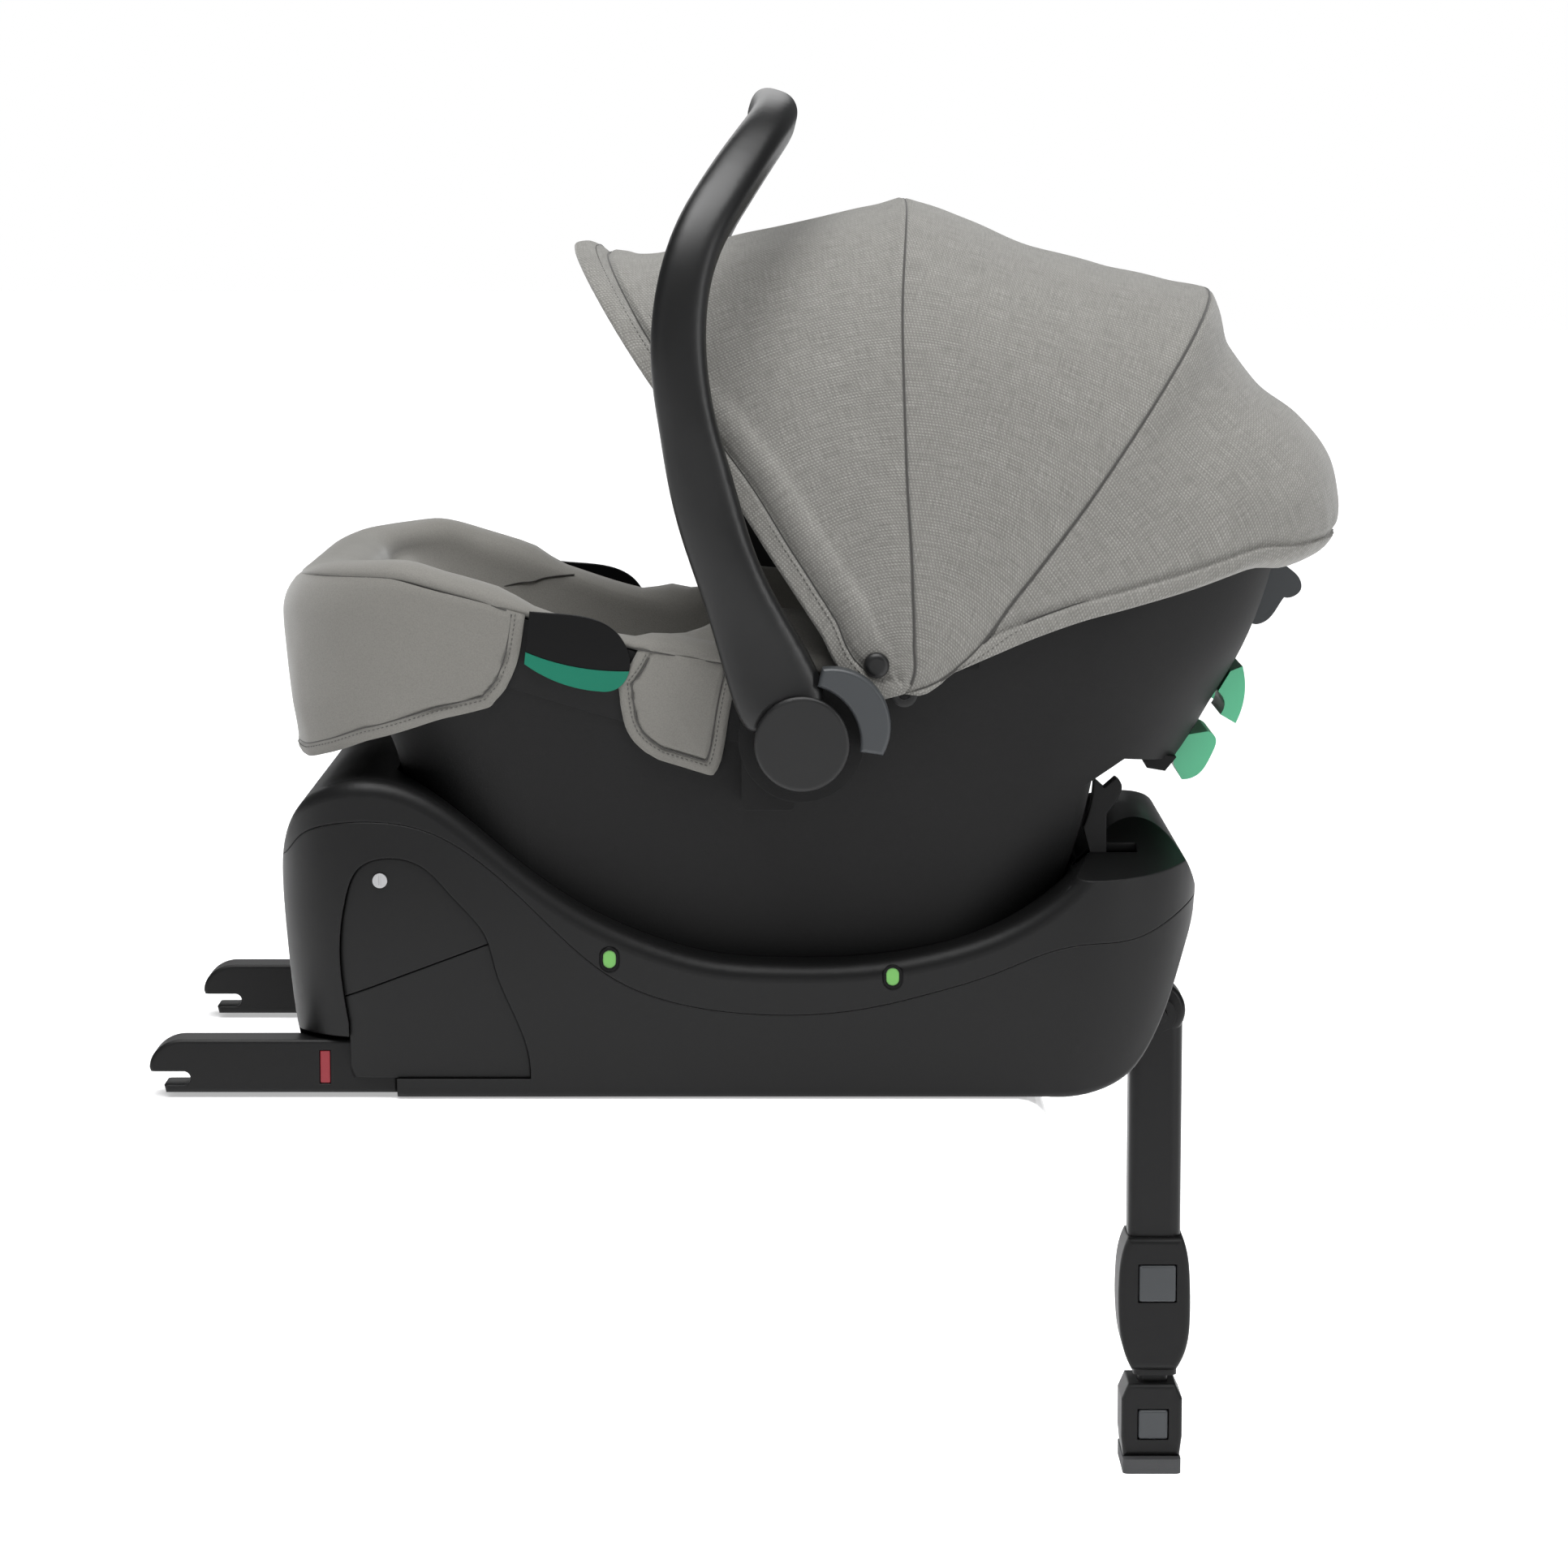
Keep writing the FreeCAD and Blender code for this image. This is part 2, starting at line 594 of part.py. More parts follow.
def button_lobe(grow, y_outer, y_inner):
    """Crescent thumb button on the rear upper edge of the hub."""
    disc = rod(hub_x + 18, -y_outer, -y_inner, hub_z + 10, 35 + grow)
    ring = hub_disc(-y_outer - 1, -y_inner + 1, hub_radius - 6 - grow)
    wedge = outline(points([(43.4, 225.5), (120, 214)]), points([(120, 214), (120, 300)]),
                    points([(120, 300), (64, 300)]), points([(64, 300), (43.4, 225.5)]))
    lobe = disc.cut(ring).common(slab(wedge, -300, -100))
    return max(lobe.Solids, key=lambda s: s.Volume)


def make_handle_buttons():
    lobe = button_lobe(0, hub_outer - 4, hub_inner + 6)
    edges = [e for e in lobe.Edges if abs(e.CenterOfMass.y + hub_outer - 4) < 0.5]
    lobe = lobe.makeFillet(2.5, edges)
    for side in SIDES:
        keep("handle_button_" + side, on_side(lobe, side))


# ---------------------------------------------------------------- canopy
canopy_half = 189.0
# tilt from upright about the pivot (degrees, towards the head): reach of the cloth there
front_stations = [(-36.0, 330), (-32.5, 311), (-21.0, 290), (-10.5, 286), (-0.15, 295)]
mid_stations = [(0.15, 295), (9.0, 283), (17.0, 277.5), (26.0, 282), (38.4, 306)]
rear_stations = [(38.7, 306), (45.0, 292), (51.0, 288), (58.0, 297), (66.0, 299), (71.0, 292)]


def arch_curve(tilt, reach, half, start, squareness, count=19):
    """Points of an arch in the plane tilted about the pivot: from -Y, over, to +Y."""
    t = math.radians(tilt)
    up = V(math.sin(t), 0, math.cos(t))
    pts = []
    for n in range(count):
        a = math.pi * n / (count - 1)
        y = -half * math.copysign(abs(math.cos(a)) ** (2 / squareness), math.cos(a))
        r = start + (reach - start) * max(math.sin(a), 0.0) ** (2 / squareness)
        pts.append(V(canopy_pivot_x, y, canopy_pivot_z) + up * r)
    return pts


def arch_band(tilt, reach, half, start, squareness, depth):
    outer = arch_curve(tilt, reach, half, start, squareness)
    inner = arch_curve(tilt, reach - depth, half - depth, start, squareness)
    return outline(outer, [outer[-1], inner[-1]], list(reversed(inner)), [inner[0], outer[0]])


def make_canopy():
    panels = {"canopy_front_panel": (front_stations, 3.3, 3.3),
              "canopy_mid_panel": (mid_stations, 3.3, 3.5),
              "canopy_rear_panel": (rear_stations, 3.5, 4.4)}
    for name, (stations, square_a, square_b) in panels.items():
        wires = []
        for n, (tilt, reach) in enumerate(stations):
            square = square_a + (square_b - square_a) * n / (len(stations) - 1)
            wires.append(arch_band(tilt, reach, canopy_half, 4.0, square, cloth))
        nodes[name] = Part.makeLoft(wires, True, False)
    front = nodes["canopy_front_panel"]
    tab = rod(sx(88), -canopy_half, -canopy_half + cloth, 266.0, 15.0)
    front = fuse(front, tab, mirrored(tab))
    keep("canopy_front_panel", front)
    keep("canopy_mid_panel", nodes["canopy_mid_panel"])
    rear = nodes["canopy_rear_panel"].cut(shell_body(0.5, -0.5, 0))
    keep("canopy_rear_panel", max(rear.Solids, key=lambda s: s.Volume))

    bows = {"front_bow": (-35.0, 330, 3.3, 186.3), "mid_bow": (0.0, 295, 3.3, 183.4),
            "rear_bow": (38.5, 306, 3.5, 180.5)}
    for name, (tilt, reach, square, half) in bows.items():
        t = math.radians(tilt)
        normal = V(math.cos(t), 0, -math.sin(t))
        drop = {"front_bow": 14.0, "mid_bow": 3.6, "rear_bow": 4.2}[name]
        wire = arch_band(tilt, reach - drop, half, 0.0, square, bow_thickness)
        face = Part.Face(wire)
        face.translate(normal * (-bow_width / 2))
        arch = face.extrude(normal * bow_width)
        eye = rod(canopy_pivot_x, -half, -half + bow_thickness, canopy_pivot_z, 8.0)
        bow = fuse(arch, eye, mirrored(eye))
        bow = bow.cut(rod(canopy_pivot_x, -300, 300, canopy_pivot_z, 3.3))
        keep(name, max(bow.Solids, key=lambda s: s.Volume))
    stud = rod(sx(88.2), -canopy_half - 4.2, -canopy_half - 0.3, 269.6, 7.75)
    rim = [e for e in stud.Edges if abs(e.CenterOfMass.y + canopy_half + 4.2) < 0.01]
    keep("canopy_stud", both(stud.makeFillet(3.0, rim)))


# ---------------------------------------------------------------- base
base_sections = [
    (-4, -266, 262, 157, 52, 60),
    (40, -270, 276, 164, 56, 66),
    (85, -275, 284, 171.5, 60, 70),
    (130, -277, 288, 175.5, 62, 72),
    (205, -277, 292, 176, 62, 74),
]
rail_top = [(-226, 198), (-196, 194), (-167, 178), (-128, 146), (-89, 118), (-49, 99),
            (-10, 88), (30, 85), (79, 86), (124, 93), (168, 108), (208, 136)]
hump = [(208, 136), (222, 155), (234, 168), (246, 175), (259, 175), (271, 166), (279, 150),
        (285, 134)]
hump_crown = [(208, 136.5), (222, 149), (234, 157), (246, 161), (258, 161), (268, 157),
              (277, 148), (284, 134), (288, 122)]
hump_flat_half = 66.0         # the crown's level part; its shoulders slope down outside this
base_rear = [(285, 134), (287, 116), (280, 90), (270, 58), (259, 32), (246, 14), (229, 4.5),
             (194, 0)]
base_front = [(-258, 14), (-266, 34), (-271, 70), (-275, 118), (-275.5, 145), (-271, 165),
              (-259, 184), (-240, 195), (-226, 198)]
parting = [(-290, 146), (-272, 150), (-262, 162), (-245, 170), (-220, 173), (-186, 168),
           (-147, 145), (-98, 98), (-69, 75), (-24, 58.5), (15, 53.5), (79, 56.5),
           (123, 67), (163, 80), (192, 92), (217, 97.5), (246, 100), (277, 115), (300, 128)]
rail_rounding = 10.0
sole_rounding = 5.0
channel_half = 31.5
channel_top = 59.0
channel_front = -37.0
pocket_top = 38.6
arm_rear = -174.0
tube_x = sx(-188)
tube_z = 20.0
pocket_inner = anchor_spacing / 2 - anchor_arm_width / 2 - run_gap
pocket_outer = anchor_spacing / 2 + anchor_arm_width / 2 + run_gap


def base_plan(grow):
    return plan_loft(tied(base_sections, rail_half_width, 176.0), grow)


def base_profile(inset):
    """Side outline of the base, inset from its outer face."""
    i = inset
    front = [V(p.x + i, 0, p.z) for p in points(base_front)]
    front[0] = V(front[0].x, 0, front[0].z + i)
    front[-1] = V(front[-1].x, 0, front[-1].z - i)
    front[-2] = V(front[-2].x, 0, front[-2].z - i)
    rail = [V(p.x, 0, p.z - i) for p in points(rail_top)]
    top = [V(p.x - i * 0.5, 0, p.z - i) for p in points(hump)]
    rear = [V(p.x - i, 0, p.z) for p in points(base_rear)]
    rear[-1] = V(rear[-1].x + i, 0, i)
    rear[-2] = V(rear[-2].x, 0, rear[-2].z + i)
    rail[0], rail[-1] = front[-1], top[0]
    rear[0] = top[-1]
    sole = V(sx(-240), 0, i)
    return outline(front, rail, top, rear, [rear[-1], sole], [sole, front[0]])


def below_parting(shift):
    line = [V(p.x, 0, p.z + shift) for p in points(parting)]
    a, b = line[0], line[-1]
    low_a, low_b = V(a.x, 0, -60), V(b.x, 0, -60)
    return slab(outline(line, [b, low_b], [low_b, low_a], [low_a, a]), -300, 300)


recess = [(-233, 47), (-237.5, 87), (-233, 127), (-224.5, 145), (-207, 151), (-187, 146),
          (-168, 127), (-148, 102), (-142.5, 82), (-124, 32), (-122, 12)]


def recess_slab(grow):
    pts = points(spread(recess, grow))
    a, b = pts[0], pts[-1]
    foot = V(a.x, 0, b.z)
    return slab(outline(pts, [b, foot], [foot, a]), -230, 0)


def make_base():
    outer = base_plan(0).common(slab(base_profile(0), -300, 300))
    outer = outer.makeFillet(rail_rounding, sharp_edges(outer, 60, 999))
    slope = [V(sx(206), hump_flat_half, 161.5), V(sx(206), 190, 133.5), V(sx(206), 190, 230),
             V(sx(206), hump_flat_half, 230), V(sx(206), hump_flat_half, 161.5)]
    shoulder = Part.Face(Part.makePolygon(slope)).extrude(V(120, 0, 0))
    crown = points(hump_crown)
    above = outline(crown, [crown[-1], V(sx(330), 0, 122)], [V(sx(330), 0, 122), V(sx(330), 0, 230)],
                    [V(sx(330), 0, 230), V(sx(208), 0, 230)], [V(sx(208), 0, 230), crown[0]])
    trims = [shoulder, mirrored(shoulder), slab(above, -200, 200)]
    outer = cut(outer, *trims)
    sole_edges = [e for e in sharp_edges(outer, -5, 12) if e.Length > 300]
    sole_edges = [e for e in sole_edges if abs(e.CenterOfMass.y) > 100]
    outer = outer.makeFillet(sole_rounding, sole_edges)
    docked = shell_plan(dock_clearance + band_proud).common(
        slab(shell_profile(-dock_clearance), -300, 300))
    floor_of = shell_plan(dock_clearance + band_proud + base_wall).common(
        slab(shell_profile(-dock_clearance - base_wall), -300, 300))
    hollow = base_plan(-base_wall).common(slab(base_profile(base_wall), -300, 300))
    channel = box(sx(channel_front), sx(340), -channel_half, channel_half, -60, channel_top)
    channel_wall = box(sx(channel_front) - base_wall, sx(340), -channel_half - base_wall,
                       channel_half + base_wall, -60, channel_top + base_wall)
    pocket_end = sx(arm_rear) + anchor_travel + 2
    pocket = box(sx(-400), pocket_end, -pocket_outer, -pocket_inner, -60, pocket_top)
    pocket_wall = box(sx(-400), pocket_end + base_wall, -190, -pocket_inner + base_wall, -60,
                      pocket_top + base_wall)
    side_wall = recess_slab(base_wall).common(box(sx(-400), sx(0), -190, -rail_half_width + 26,
                                                 0, 300))
    roof = [t.translated(V(-base_wall, 0, -base_wall)) for t in trims]
    hollow = cut(hollow, floor_of, channel_wall, pocket_wall, mirrored(pocket_wall), side_wall,
                 mirrored(side_wall), *roof)
    hook_slots = box(sx(209), sx(250), -127, -111, 138, 260)
    body = cut(outer, docked, hollow, channel, pocket, mirrored(pocket))
    # open fronts of the anchor pockets, seen from the side
    side_open = box(sx(-400), sx(-204), -190, -pocket_inner, -60, pocket_top)
    body = cut(body, side_open, mirrored(side_open))
    # recessed side panels
    dish = recess_slab(0).cut(base_plan(-5.5))
    body = cut(body, dish, mirrored(dish))
    tube_slot = box(tube_x - 8.5, tube_x + anchor_travel + 8.5, -pocket_inner - 1,
                    pocket_inner + 1, tube_z - 8.5, tube_z + 8.5)
    body = cut(body, tube_slot, hook_slots, mirrored(hook_slots))
    button_well = box(sx(264), sx(300), -47, 47, 97, 135)
    body = body.cut(button_well)
    # bezels for the level windows
    for x, z in level_windows:
        well = stadium(x, z, 6.0, 8.0, base_plan(4).cut(base_plan(-1.6)))
        body = cut(body, well, mirrored(well))
    lower = body.common(below_parting(-seam_gap / 2))
    upper = body.cut(below_parting(seam_gap / 2))
    keep("base_lower", max(lower.Solids, key=lambda s: s.Volume))
    keep("base_upper", max(upper.Solids, key=lambda s: s.Volume))

    # windows and their bezels
    bezels, windows = [], []
    for x, z in level_windows:
        ring = stadium(x, z, 5.7, 7.7, base_plan(0.4).cut(base_plan(-1.5)))
        hole = stadium(x, z, 4.15, 5.75, base_plan(6).cut(base_plan(-6)))
        lens = stadium(x, z, 3.95, 5.55, base_plan(-0.1).cut(base_plan(-1.5)))
        bezels += [ring.cut(hole)]
        windows += [lens]
    keep("level_bezel", Part.makeCompound(bezels + [mirrored(b) for b in bezels]))
    keep("level_window", Part.makeCompound(windows + [mirrored(w) for w in windows]))

    # panel in the side recess, split on its diagonal
    skin = base_plan(-2.6).cut(base_plan(-5.2))
    above = outline(points([(-260, 55), (-110, 112)]), points([(-110, 112), (-110, 200)]),
                    points([(-110, 200), (-260, 200)]), points([(-260, 200), (-260, 55)]))
    below = outline(points([(-260, 54), (-260, 0)]), points([(-260, 0), (-110, 0)]),
                    points([(-110, 0), (-110, 111)]), points([(-110, 111), (-260, 54)]))
    plates = []
    for half in (above, below):
        plate = skin.common(recess_slab(-0.5).common(slab(half, -300, -100))).cut(pocket)
        plates += plate.Solids
    face_y = rail_half_width - 2.7
    head = rod(sx(-212), -face_y - 1.4, -face_y, 137.0, 4.5)
    driver = box(sx(-212) - 0.8, sx(-212) + 0.8, -face_y - 2, -face_y - 0.7, 133.8, 140.2)
    keep("base_recess_panel", both(Part.makeCompound(plates)))
    keep("panel_screw", both(head.cut(driver)))

    # press panel that frees the carrier, on the rear of the hump
    press = block(sx(272), sx(286) + 0.4, -46.5, 46.5, 97.5, 134.5, 3)
    keep("base_release_button", press)

    # crescent hooks that hold the carrier's heel
    crescent = outline(points([(217, 163), (222, 180), (223, 193.4)]),
                       points([(223, 193.4), (229.5, 187.4)]),
                       points([(229.5, 187.4), (236.5, 193.5)]),
                       points([(236.5, 193.5), (240, 190), (238, 181), (231, 171)]),
                       points([(231, 171), (231, 141)]), points([(231, 141), (223, 141)]),
                       points([(223, 141), (217, 163)]))
    hook = slab(crescent, -126.4, -111.6).cut(shell_plan(band_proud + 1.5).common(
        slab(shell_profile(-1.5), -300, 300)))
    hook = max(hook.Solids, key=lambda s: s.Volume)
    keep("carrier_latch_hook", both(hook))


level_windows = [(-73.2, 88.4), (98.9, 77.4)]


def stadium(x, z, half_x, half_z, between):
    """An upright rounded window on the base's side, within a skin."""
    tall = box(sx(x) - half_x, sx(x) + half_x, -260, -100, z - half_z + half_x,
               z + half_z - half_x)
    top = rod(sx(x), -260, -100, z + half_z - half_x, half_x)
    low = rod(sx(x), -260, -100, z - half_z + half_x, half_x)
    return fuse(tall, top, low).common(between)


# ---------------------------------------------------------------- support leg
leg_elbow_radius = 18.5
housing_bottom = -205.4
lower_housing_top = -215.0
foot_bottom = -272.6
pad_height = 9.6
middle_tube_x, middle_tube_y = 19.0, 22.0
inner_tube_x, inner_tube_y = 14.0, 17.0


def tube(x, half_y, z0, z1, radius):
    """An upright rounded bar around the leg's own line."""
    return block(leg_hinge_x - x, leg_hinge_x + x, -half_y, half_y, z0, z1, radius, "z")


def housing(outline_pairs, half_y, rounding):
    """A leg housing from its side outline, with its upright edges rounded."""
    solid = slab(outline(*[points(run) for run in outline_pairs]), -half_y, half_y)
    edges = [e for e in solid.Edges if abs(abs(e.CenterOfMass.y) - half_y) < 0.01]
    return solid.makeFillet(rounding, edges)


def make_leg():
    # hinge pin through the base's channel walls
    pin = rod(leg_hinge_x, -channel_half - base_wall + 1, channel_half + base_wall - 1,
              leg_hinge_z, 5.0)
    keep("leg_hinge_pin", pin)
    hx, hy = leg_tube_x / 2, leg_tube_y / 2
    # outer tube with its rounded elbow
    elbow = rod(leg_hinge_x, -hy, hy, leg_hinge_z, leg_elbow_radius)
    rims = [e for e in elbow.Edges if e.Closed and abs(abs(e.CenterOfMass.y) - hy) < 0.01]
    elbow = elbow.makeFillet(4, rims)
    spacer = rod(leg_hinge_x, -channel_half + run_gap, channel_half - run_gap, leg_hinge_z, 11)
    outer = tube(hx, hy, -190.0, leg_hinge_z, 8)
    bore = tube(hx - leg_tube_wall, hy - leg_tube_wall, -191.0, leg_hinge_z - 16, 6)
    outer = fuse(outer, elbow, spacer).cut(bore)
    outer = outer.cut(rod(leg_hinge_x, -60, 60, leg_hinge_z, 5.3))
    keep("leg_outer_tube", outer)

    # upper housing round the tube's end, with a collar for the middle tube
    upper = housing([[(254.5, -118.5), (250.6, -130), (248.8, -146), (248.9, -170),
                      (251.6, -190), (257.6, housing_bottom)],
                     [(257.6, housing_bottom), (286.4, housing_bottom)],
                     [(286.4, housing_bottom), (293.2, -190), (295.2, -168), (294.8, -146),
                      (293.2, -130), (290.0, -118.5)],
                     [(290.0, -118.5), (254.5, -118.5)]], 21.0, 4.0)
    socket = tube(hx + 0.3, hy + 0.3, -190.6, -100, 8)
    passage = tube(middle_tube_x / 2 + 0.4, middle_tube_y / 2 + 0.4, -230, -100, 4)
    well = box(sx(261.2), sx(286.1), -30, 30, -160.9, -135.7)
    upper = upper.cut(socket).cut(passage)
    upper = upper.cut(well.common(box(0, 400, -30, -hy - 0.2, -300, 0)))
    upper = upper.cut(well.common(box(0, 400, hy + 0.2, 30, -300, 0)))
    keep("leg_upper_housing", upper)
    collar = block(sx(259), sx(287), -18, 18, -209.6, housing_bottom - 0.1, 6, "z")
    keep("leg_collar", collar.cut(passage))

    # middle tube with its guide block
    middle = tube(middle_tube_x / 2, middle_tube_y / 2, -222.0, 2.0, 3.6)
    guide = tube(hx - leg_tube_wall - 0.4, hy - leg_tube_wall - 0.4, -10.0, 4.0, 5.6)
    hole = tube(middle_tube_x / 2 - 1.5, middle_tube_y / 2 - 1.5, -223, 5, 2.1)
    keep("leg_middle_tube", fuse(middle, guide).cut(hole))
    sole_top = foot_bottom + pad_height + 0.4
    lower = housing([[(255.5, lower_housing_top), (251.2, -225)], [(251.2, -225), (251.2, -250)],
                     [(251.2, -250), (252.5, sole_top)], [(252.5, sole_top), (289, sole_top)],
                     [(289, sole_top), (290.6, -250)], [(290.6, -250), (290.6, -225)],
                     [(290.6, -225), (286, lower_housing_top)],
                     [(286, lower_housing_top), (255.5, lower_housing_top)]], 20.0, 3.0)
    seat = tube(middle_tube_x / 2 + 0.2, middle_tube_y / 2 + 0.2, -222.4, -200, 3.8)
    bore = tube(inner_tube_x / 2 + 0.4, inner_tube_y / 2 + 0.4, -280, -200, 2.4)
    well = box(sx(261.6), sx(281.8), -30, 30, -251.9, -231.4)
    lower = lower.cut(seat).cut(bore)
    lower = lower.cut(well.common(box(0, 400, -30, -lower_well_y, -300, 0)))
    lower = lower.cut(well.common(box(0, 400, lower_well_y, 30, -300, 0)))
    keep("leg_lower_housing", lower)

    # inner tube with the foot
    inner = tube(inner_tube_x / 2, inner_tube_y / 2, foot_bottom + pad_height - 1, -92.0, 2.4)
    inner = inner.cut(tube(inner_tube_x / 2 - 1.5, inner_tube_y / 2 - 1.5, -255, -91, 1.2))
    keep("leg_inner_tube", inner)
    foot = block(sx(252), sx(289.5), -27, 27, foot_bottom, foot_bottom + pad_height, 4, "z")
    foot = foot.cut(tube(inner_tube_x / 2 + 0.1, inner_tube_y / 2 + 0.1,
                         foot_bottom + pad_height - 1.2, -200, 2.4))
    keep("leg_foot_pad", foot)

    # square press buttons on both faces of each housing, with room to be pressed in
    upper_button = block(sx(261.8), sx(285.5), -21.8, -hy - leg_button_travel - 0.1,
                         -160.3, -136.3, 1.6)
    lower_button = block(sx(262.2), sx(281.2), -20.8, -lower_well_y - leg_button_travel,
                         -251.3, -232.0, 1.8)
    for side in SIDES:
        keep("leg_upper_button_" + side, on_side(upper_button, side))
        keep("leg_lower_button_" + side, on_side(lower_button, side))


# ---------------------------------------------------------------- anchor arms
arm_centre_y = -anchor_spacing / 2
arm_y0 = arm_centre_y - anchor_arm_width / 2
arm_y1 = arm_centre_y + anchor_arm_width / 2
slot_z = 11.4
slot_end_x = sx(-335.4)


def make_anchor_arms():
    low, high = 2.4, 2.4 + anchor_arm_height
    side_view = outline(points([(-204, low), (-204, high)]), points([(-204, high), (-336, high)]),
                        points([(-336, high), (-347, 32.5), (-354, 26), (-356.4, 18)]),
                        points([(-356.4, 18), (-355.6, 15.7)]),
                        points([(-355.6, 15.7), (-347.6, 7.1)]),
                        points([(-347.6, 7.1), (-346.4, low)]),
                        points([(-346.4, low), (-204, low)]))
    arm = slab(side_view, arm_y0, arm_y1)
    edges = [e for e in arm.Edges if min(abs(e.CenterOfMass.y - arm_y0),
                                         abs(e.CenterOfMass.y - arm_y1)) < 0.01]
    arm = arm.makeFillet(2.2, edges)
    r = anchor_slot_radius
    slot = rod(slot_end_x, arm_y0 - 1, arm_y1 + 1, slot_z, r)
    slot = slot.fuse(box(sx(-370), slot_end_x, arm_y0 - 1, arm_y1 + 1, slot_z - r, slot_z + r))
    # pocket for the hook, the thumb button, the flag and the tube
    core = box(sx(-346.5), sx(-262), arm_centre_y - 4.0, arm_centre_y + 4.0, slot_z + r - 1, 31.0)
    flag_well = box(sx(-252), sx(-245), arm_y0 - 1, arm_y0 + 2.0, 8.0, 29.0)
    thumb_well = box(sx(-243), sx(-213), arm_centre_y - 8.5, arm_centre_y + 8.5, 26, 60)
    pin_bore = rod(sx(-334), arm_y0 + 1.9, arm_y1 - 1.9, 26.5, 1.6)
    arm = cut(arm, slot, core, flag_well, thumb_well, pin_bore)
    # thin rear lug that carries the cross tube
    lug = block(sx(-204) - 1, sx(arm_rear), arm_centre_y - 6, arm_centre_y + 6, 8, 32, 3, "y")
    lug = lug.cut(rod(tube_x, -200, -100, tube_z, 7.1))
    arm = arm.fuse(lug).removeSplitter()
    keep("isofix_arm", both(max(arm.Solids, key=lambda s: s.Volume)))
    bar = rod(tube_x, arm_centre_y - 8, -arm_centre_y + 8, tube_z, 7.0)
    bar = bar.cut(rod(tube_x, -300, 300, tube_z, 5.4))
    keep("isofix_cross_tube", bar)
    flag = block(sx(-251.6), sx(-245.4), arm_y0 + 0.4, arm_y0 + 2.0, 8.4, 28.6, 0.6)
    keep("isofix_flag", both(flag))
    thumb = block(sx(-231), sx(-214), arm_centre_y - 8, arm_centre_y + 8, 26.6, 37.6, 2)
    hook = outline(points([(-343, 17.6), (-331, 17.6)]), points([(-331, 17.6), (-329.5, 29)]),
                   points([(-329.5, 29), (-336.5, 29.4)]), points([(-336.5, 29.4), (-343, 17.6)]))
    hook = slab(hook, arm_centre_y - 3.4, arm_centre_y + 3.4)
    hook = hook.cut(rod(sx(-334), -200, -100, 26.5, 1.8))
    keep("isofix_hook_pin", both(rod(sx(-334), arm_y0 + 2, arm_y1 - 2, 26.5, 1.5)))
    for side in SIDES:
        keep("isofix_button_" + side, on_side(thumb, side))
        keep("isofix_hook_" + side, on_side(hook, side))


make_carrier()
make_side_trim()
make_back_parts()
make_furniture()
make_handle()
make_handle_buttons()
make_canopy()
make_base()
make_leg()
make_anchor_arms()

os.makedirs("parts", exist_ok=True)
for name, shape in nodes.items():
    shape.exportStep("parts/" + name + ".step")
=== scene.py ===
import bpy
import json
import math
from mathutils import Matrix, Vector, kdtree, noise

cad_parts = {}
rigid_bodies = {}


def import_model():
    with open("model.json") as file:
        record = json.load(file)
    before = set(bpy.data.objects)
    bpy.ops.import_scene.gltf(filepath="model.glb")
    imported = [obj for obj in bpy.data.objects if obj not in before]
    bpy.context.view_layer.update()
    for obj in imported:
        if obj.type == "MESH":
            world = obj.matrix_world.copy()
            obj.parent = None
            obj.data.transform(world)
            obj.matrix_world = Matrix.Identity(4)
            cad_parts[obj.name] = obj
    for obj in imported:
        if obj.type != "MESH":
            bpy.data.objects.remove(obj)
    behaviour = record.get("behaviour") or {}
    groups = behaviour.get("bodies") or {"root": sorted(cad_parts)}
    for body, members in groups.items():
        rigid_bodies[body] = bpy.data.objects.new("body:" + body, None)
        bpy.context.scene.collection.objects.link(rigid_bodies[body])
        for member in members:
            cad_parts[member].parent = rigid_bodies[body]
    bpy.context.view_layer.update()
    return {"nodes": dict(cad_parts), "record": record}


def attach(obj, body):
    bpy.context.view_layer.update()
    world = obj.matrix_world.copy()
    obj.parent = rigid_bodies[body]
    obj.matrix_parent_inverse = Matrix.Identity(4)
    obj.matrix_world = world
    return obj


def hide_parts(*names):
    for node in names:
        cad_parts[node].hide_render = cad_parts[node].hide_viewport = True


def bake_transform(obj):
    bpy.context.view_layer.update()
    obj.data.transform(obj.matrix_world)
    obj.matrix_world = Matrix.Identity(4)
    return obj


# clear the start-up scene, then bring in the CAD as the fixed frame
bpy.ops.object.select_all(action="SELECT")
bpy.ops.object.delete(use_global=False)
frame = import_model()
cadNodes = frame["nodes"]
mm = 0.001
print("frame loaded,", len(cadNodes), "CAD nodes")


# camera, light and floor

view = {
    "eye": (0.0328, -3.0553, 0.5636),
    "tiltDown": math.radians(7.27),
    "lens": 110.4,
}

bpy.ops.object.camera_add(location=view["eye"], rotation=(math.pi / 2 - view["tiltDown"], 0, 0))
camera = bpy.context.object
camera.name = "studioCamera"
camera.data.lens = view["lens"]
camera.data.sensor_width = 36
camera.data.clip_end = 50
bpy.context.scene.camera = camera
bpy.context.scene.view_settings.view_transform = "Standard"
bpy.context.scene.view_settings.look = "None"


def addSoftbox(name, place, aim, size, power, warmth=(1, 1, 1)):
    bpy.ops.object.light_add(type="AREA", location=place)
    lamp = bpy.context.object
    lamp.name = name
    lamp.data.shape = "RECTANGLE"
    lamp.data.size, lamp.data.size_y = size
    lamp.data.energy = power
    lamp.data.color = warmth
    lamp.rotation_euler = (Vector(aim) - Vector(place)).to_track_quat("-Z", "Y").to_euler()
    return lamp


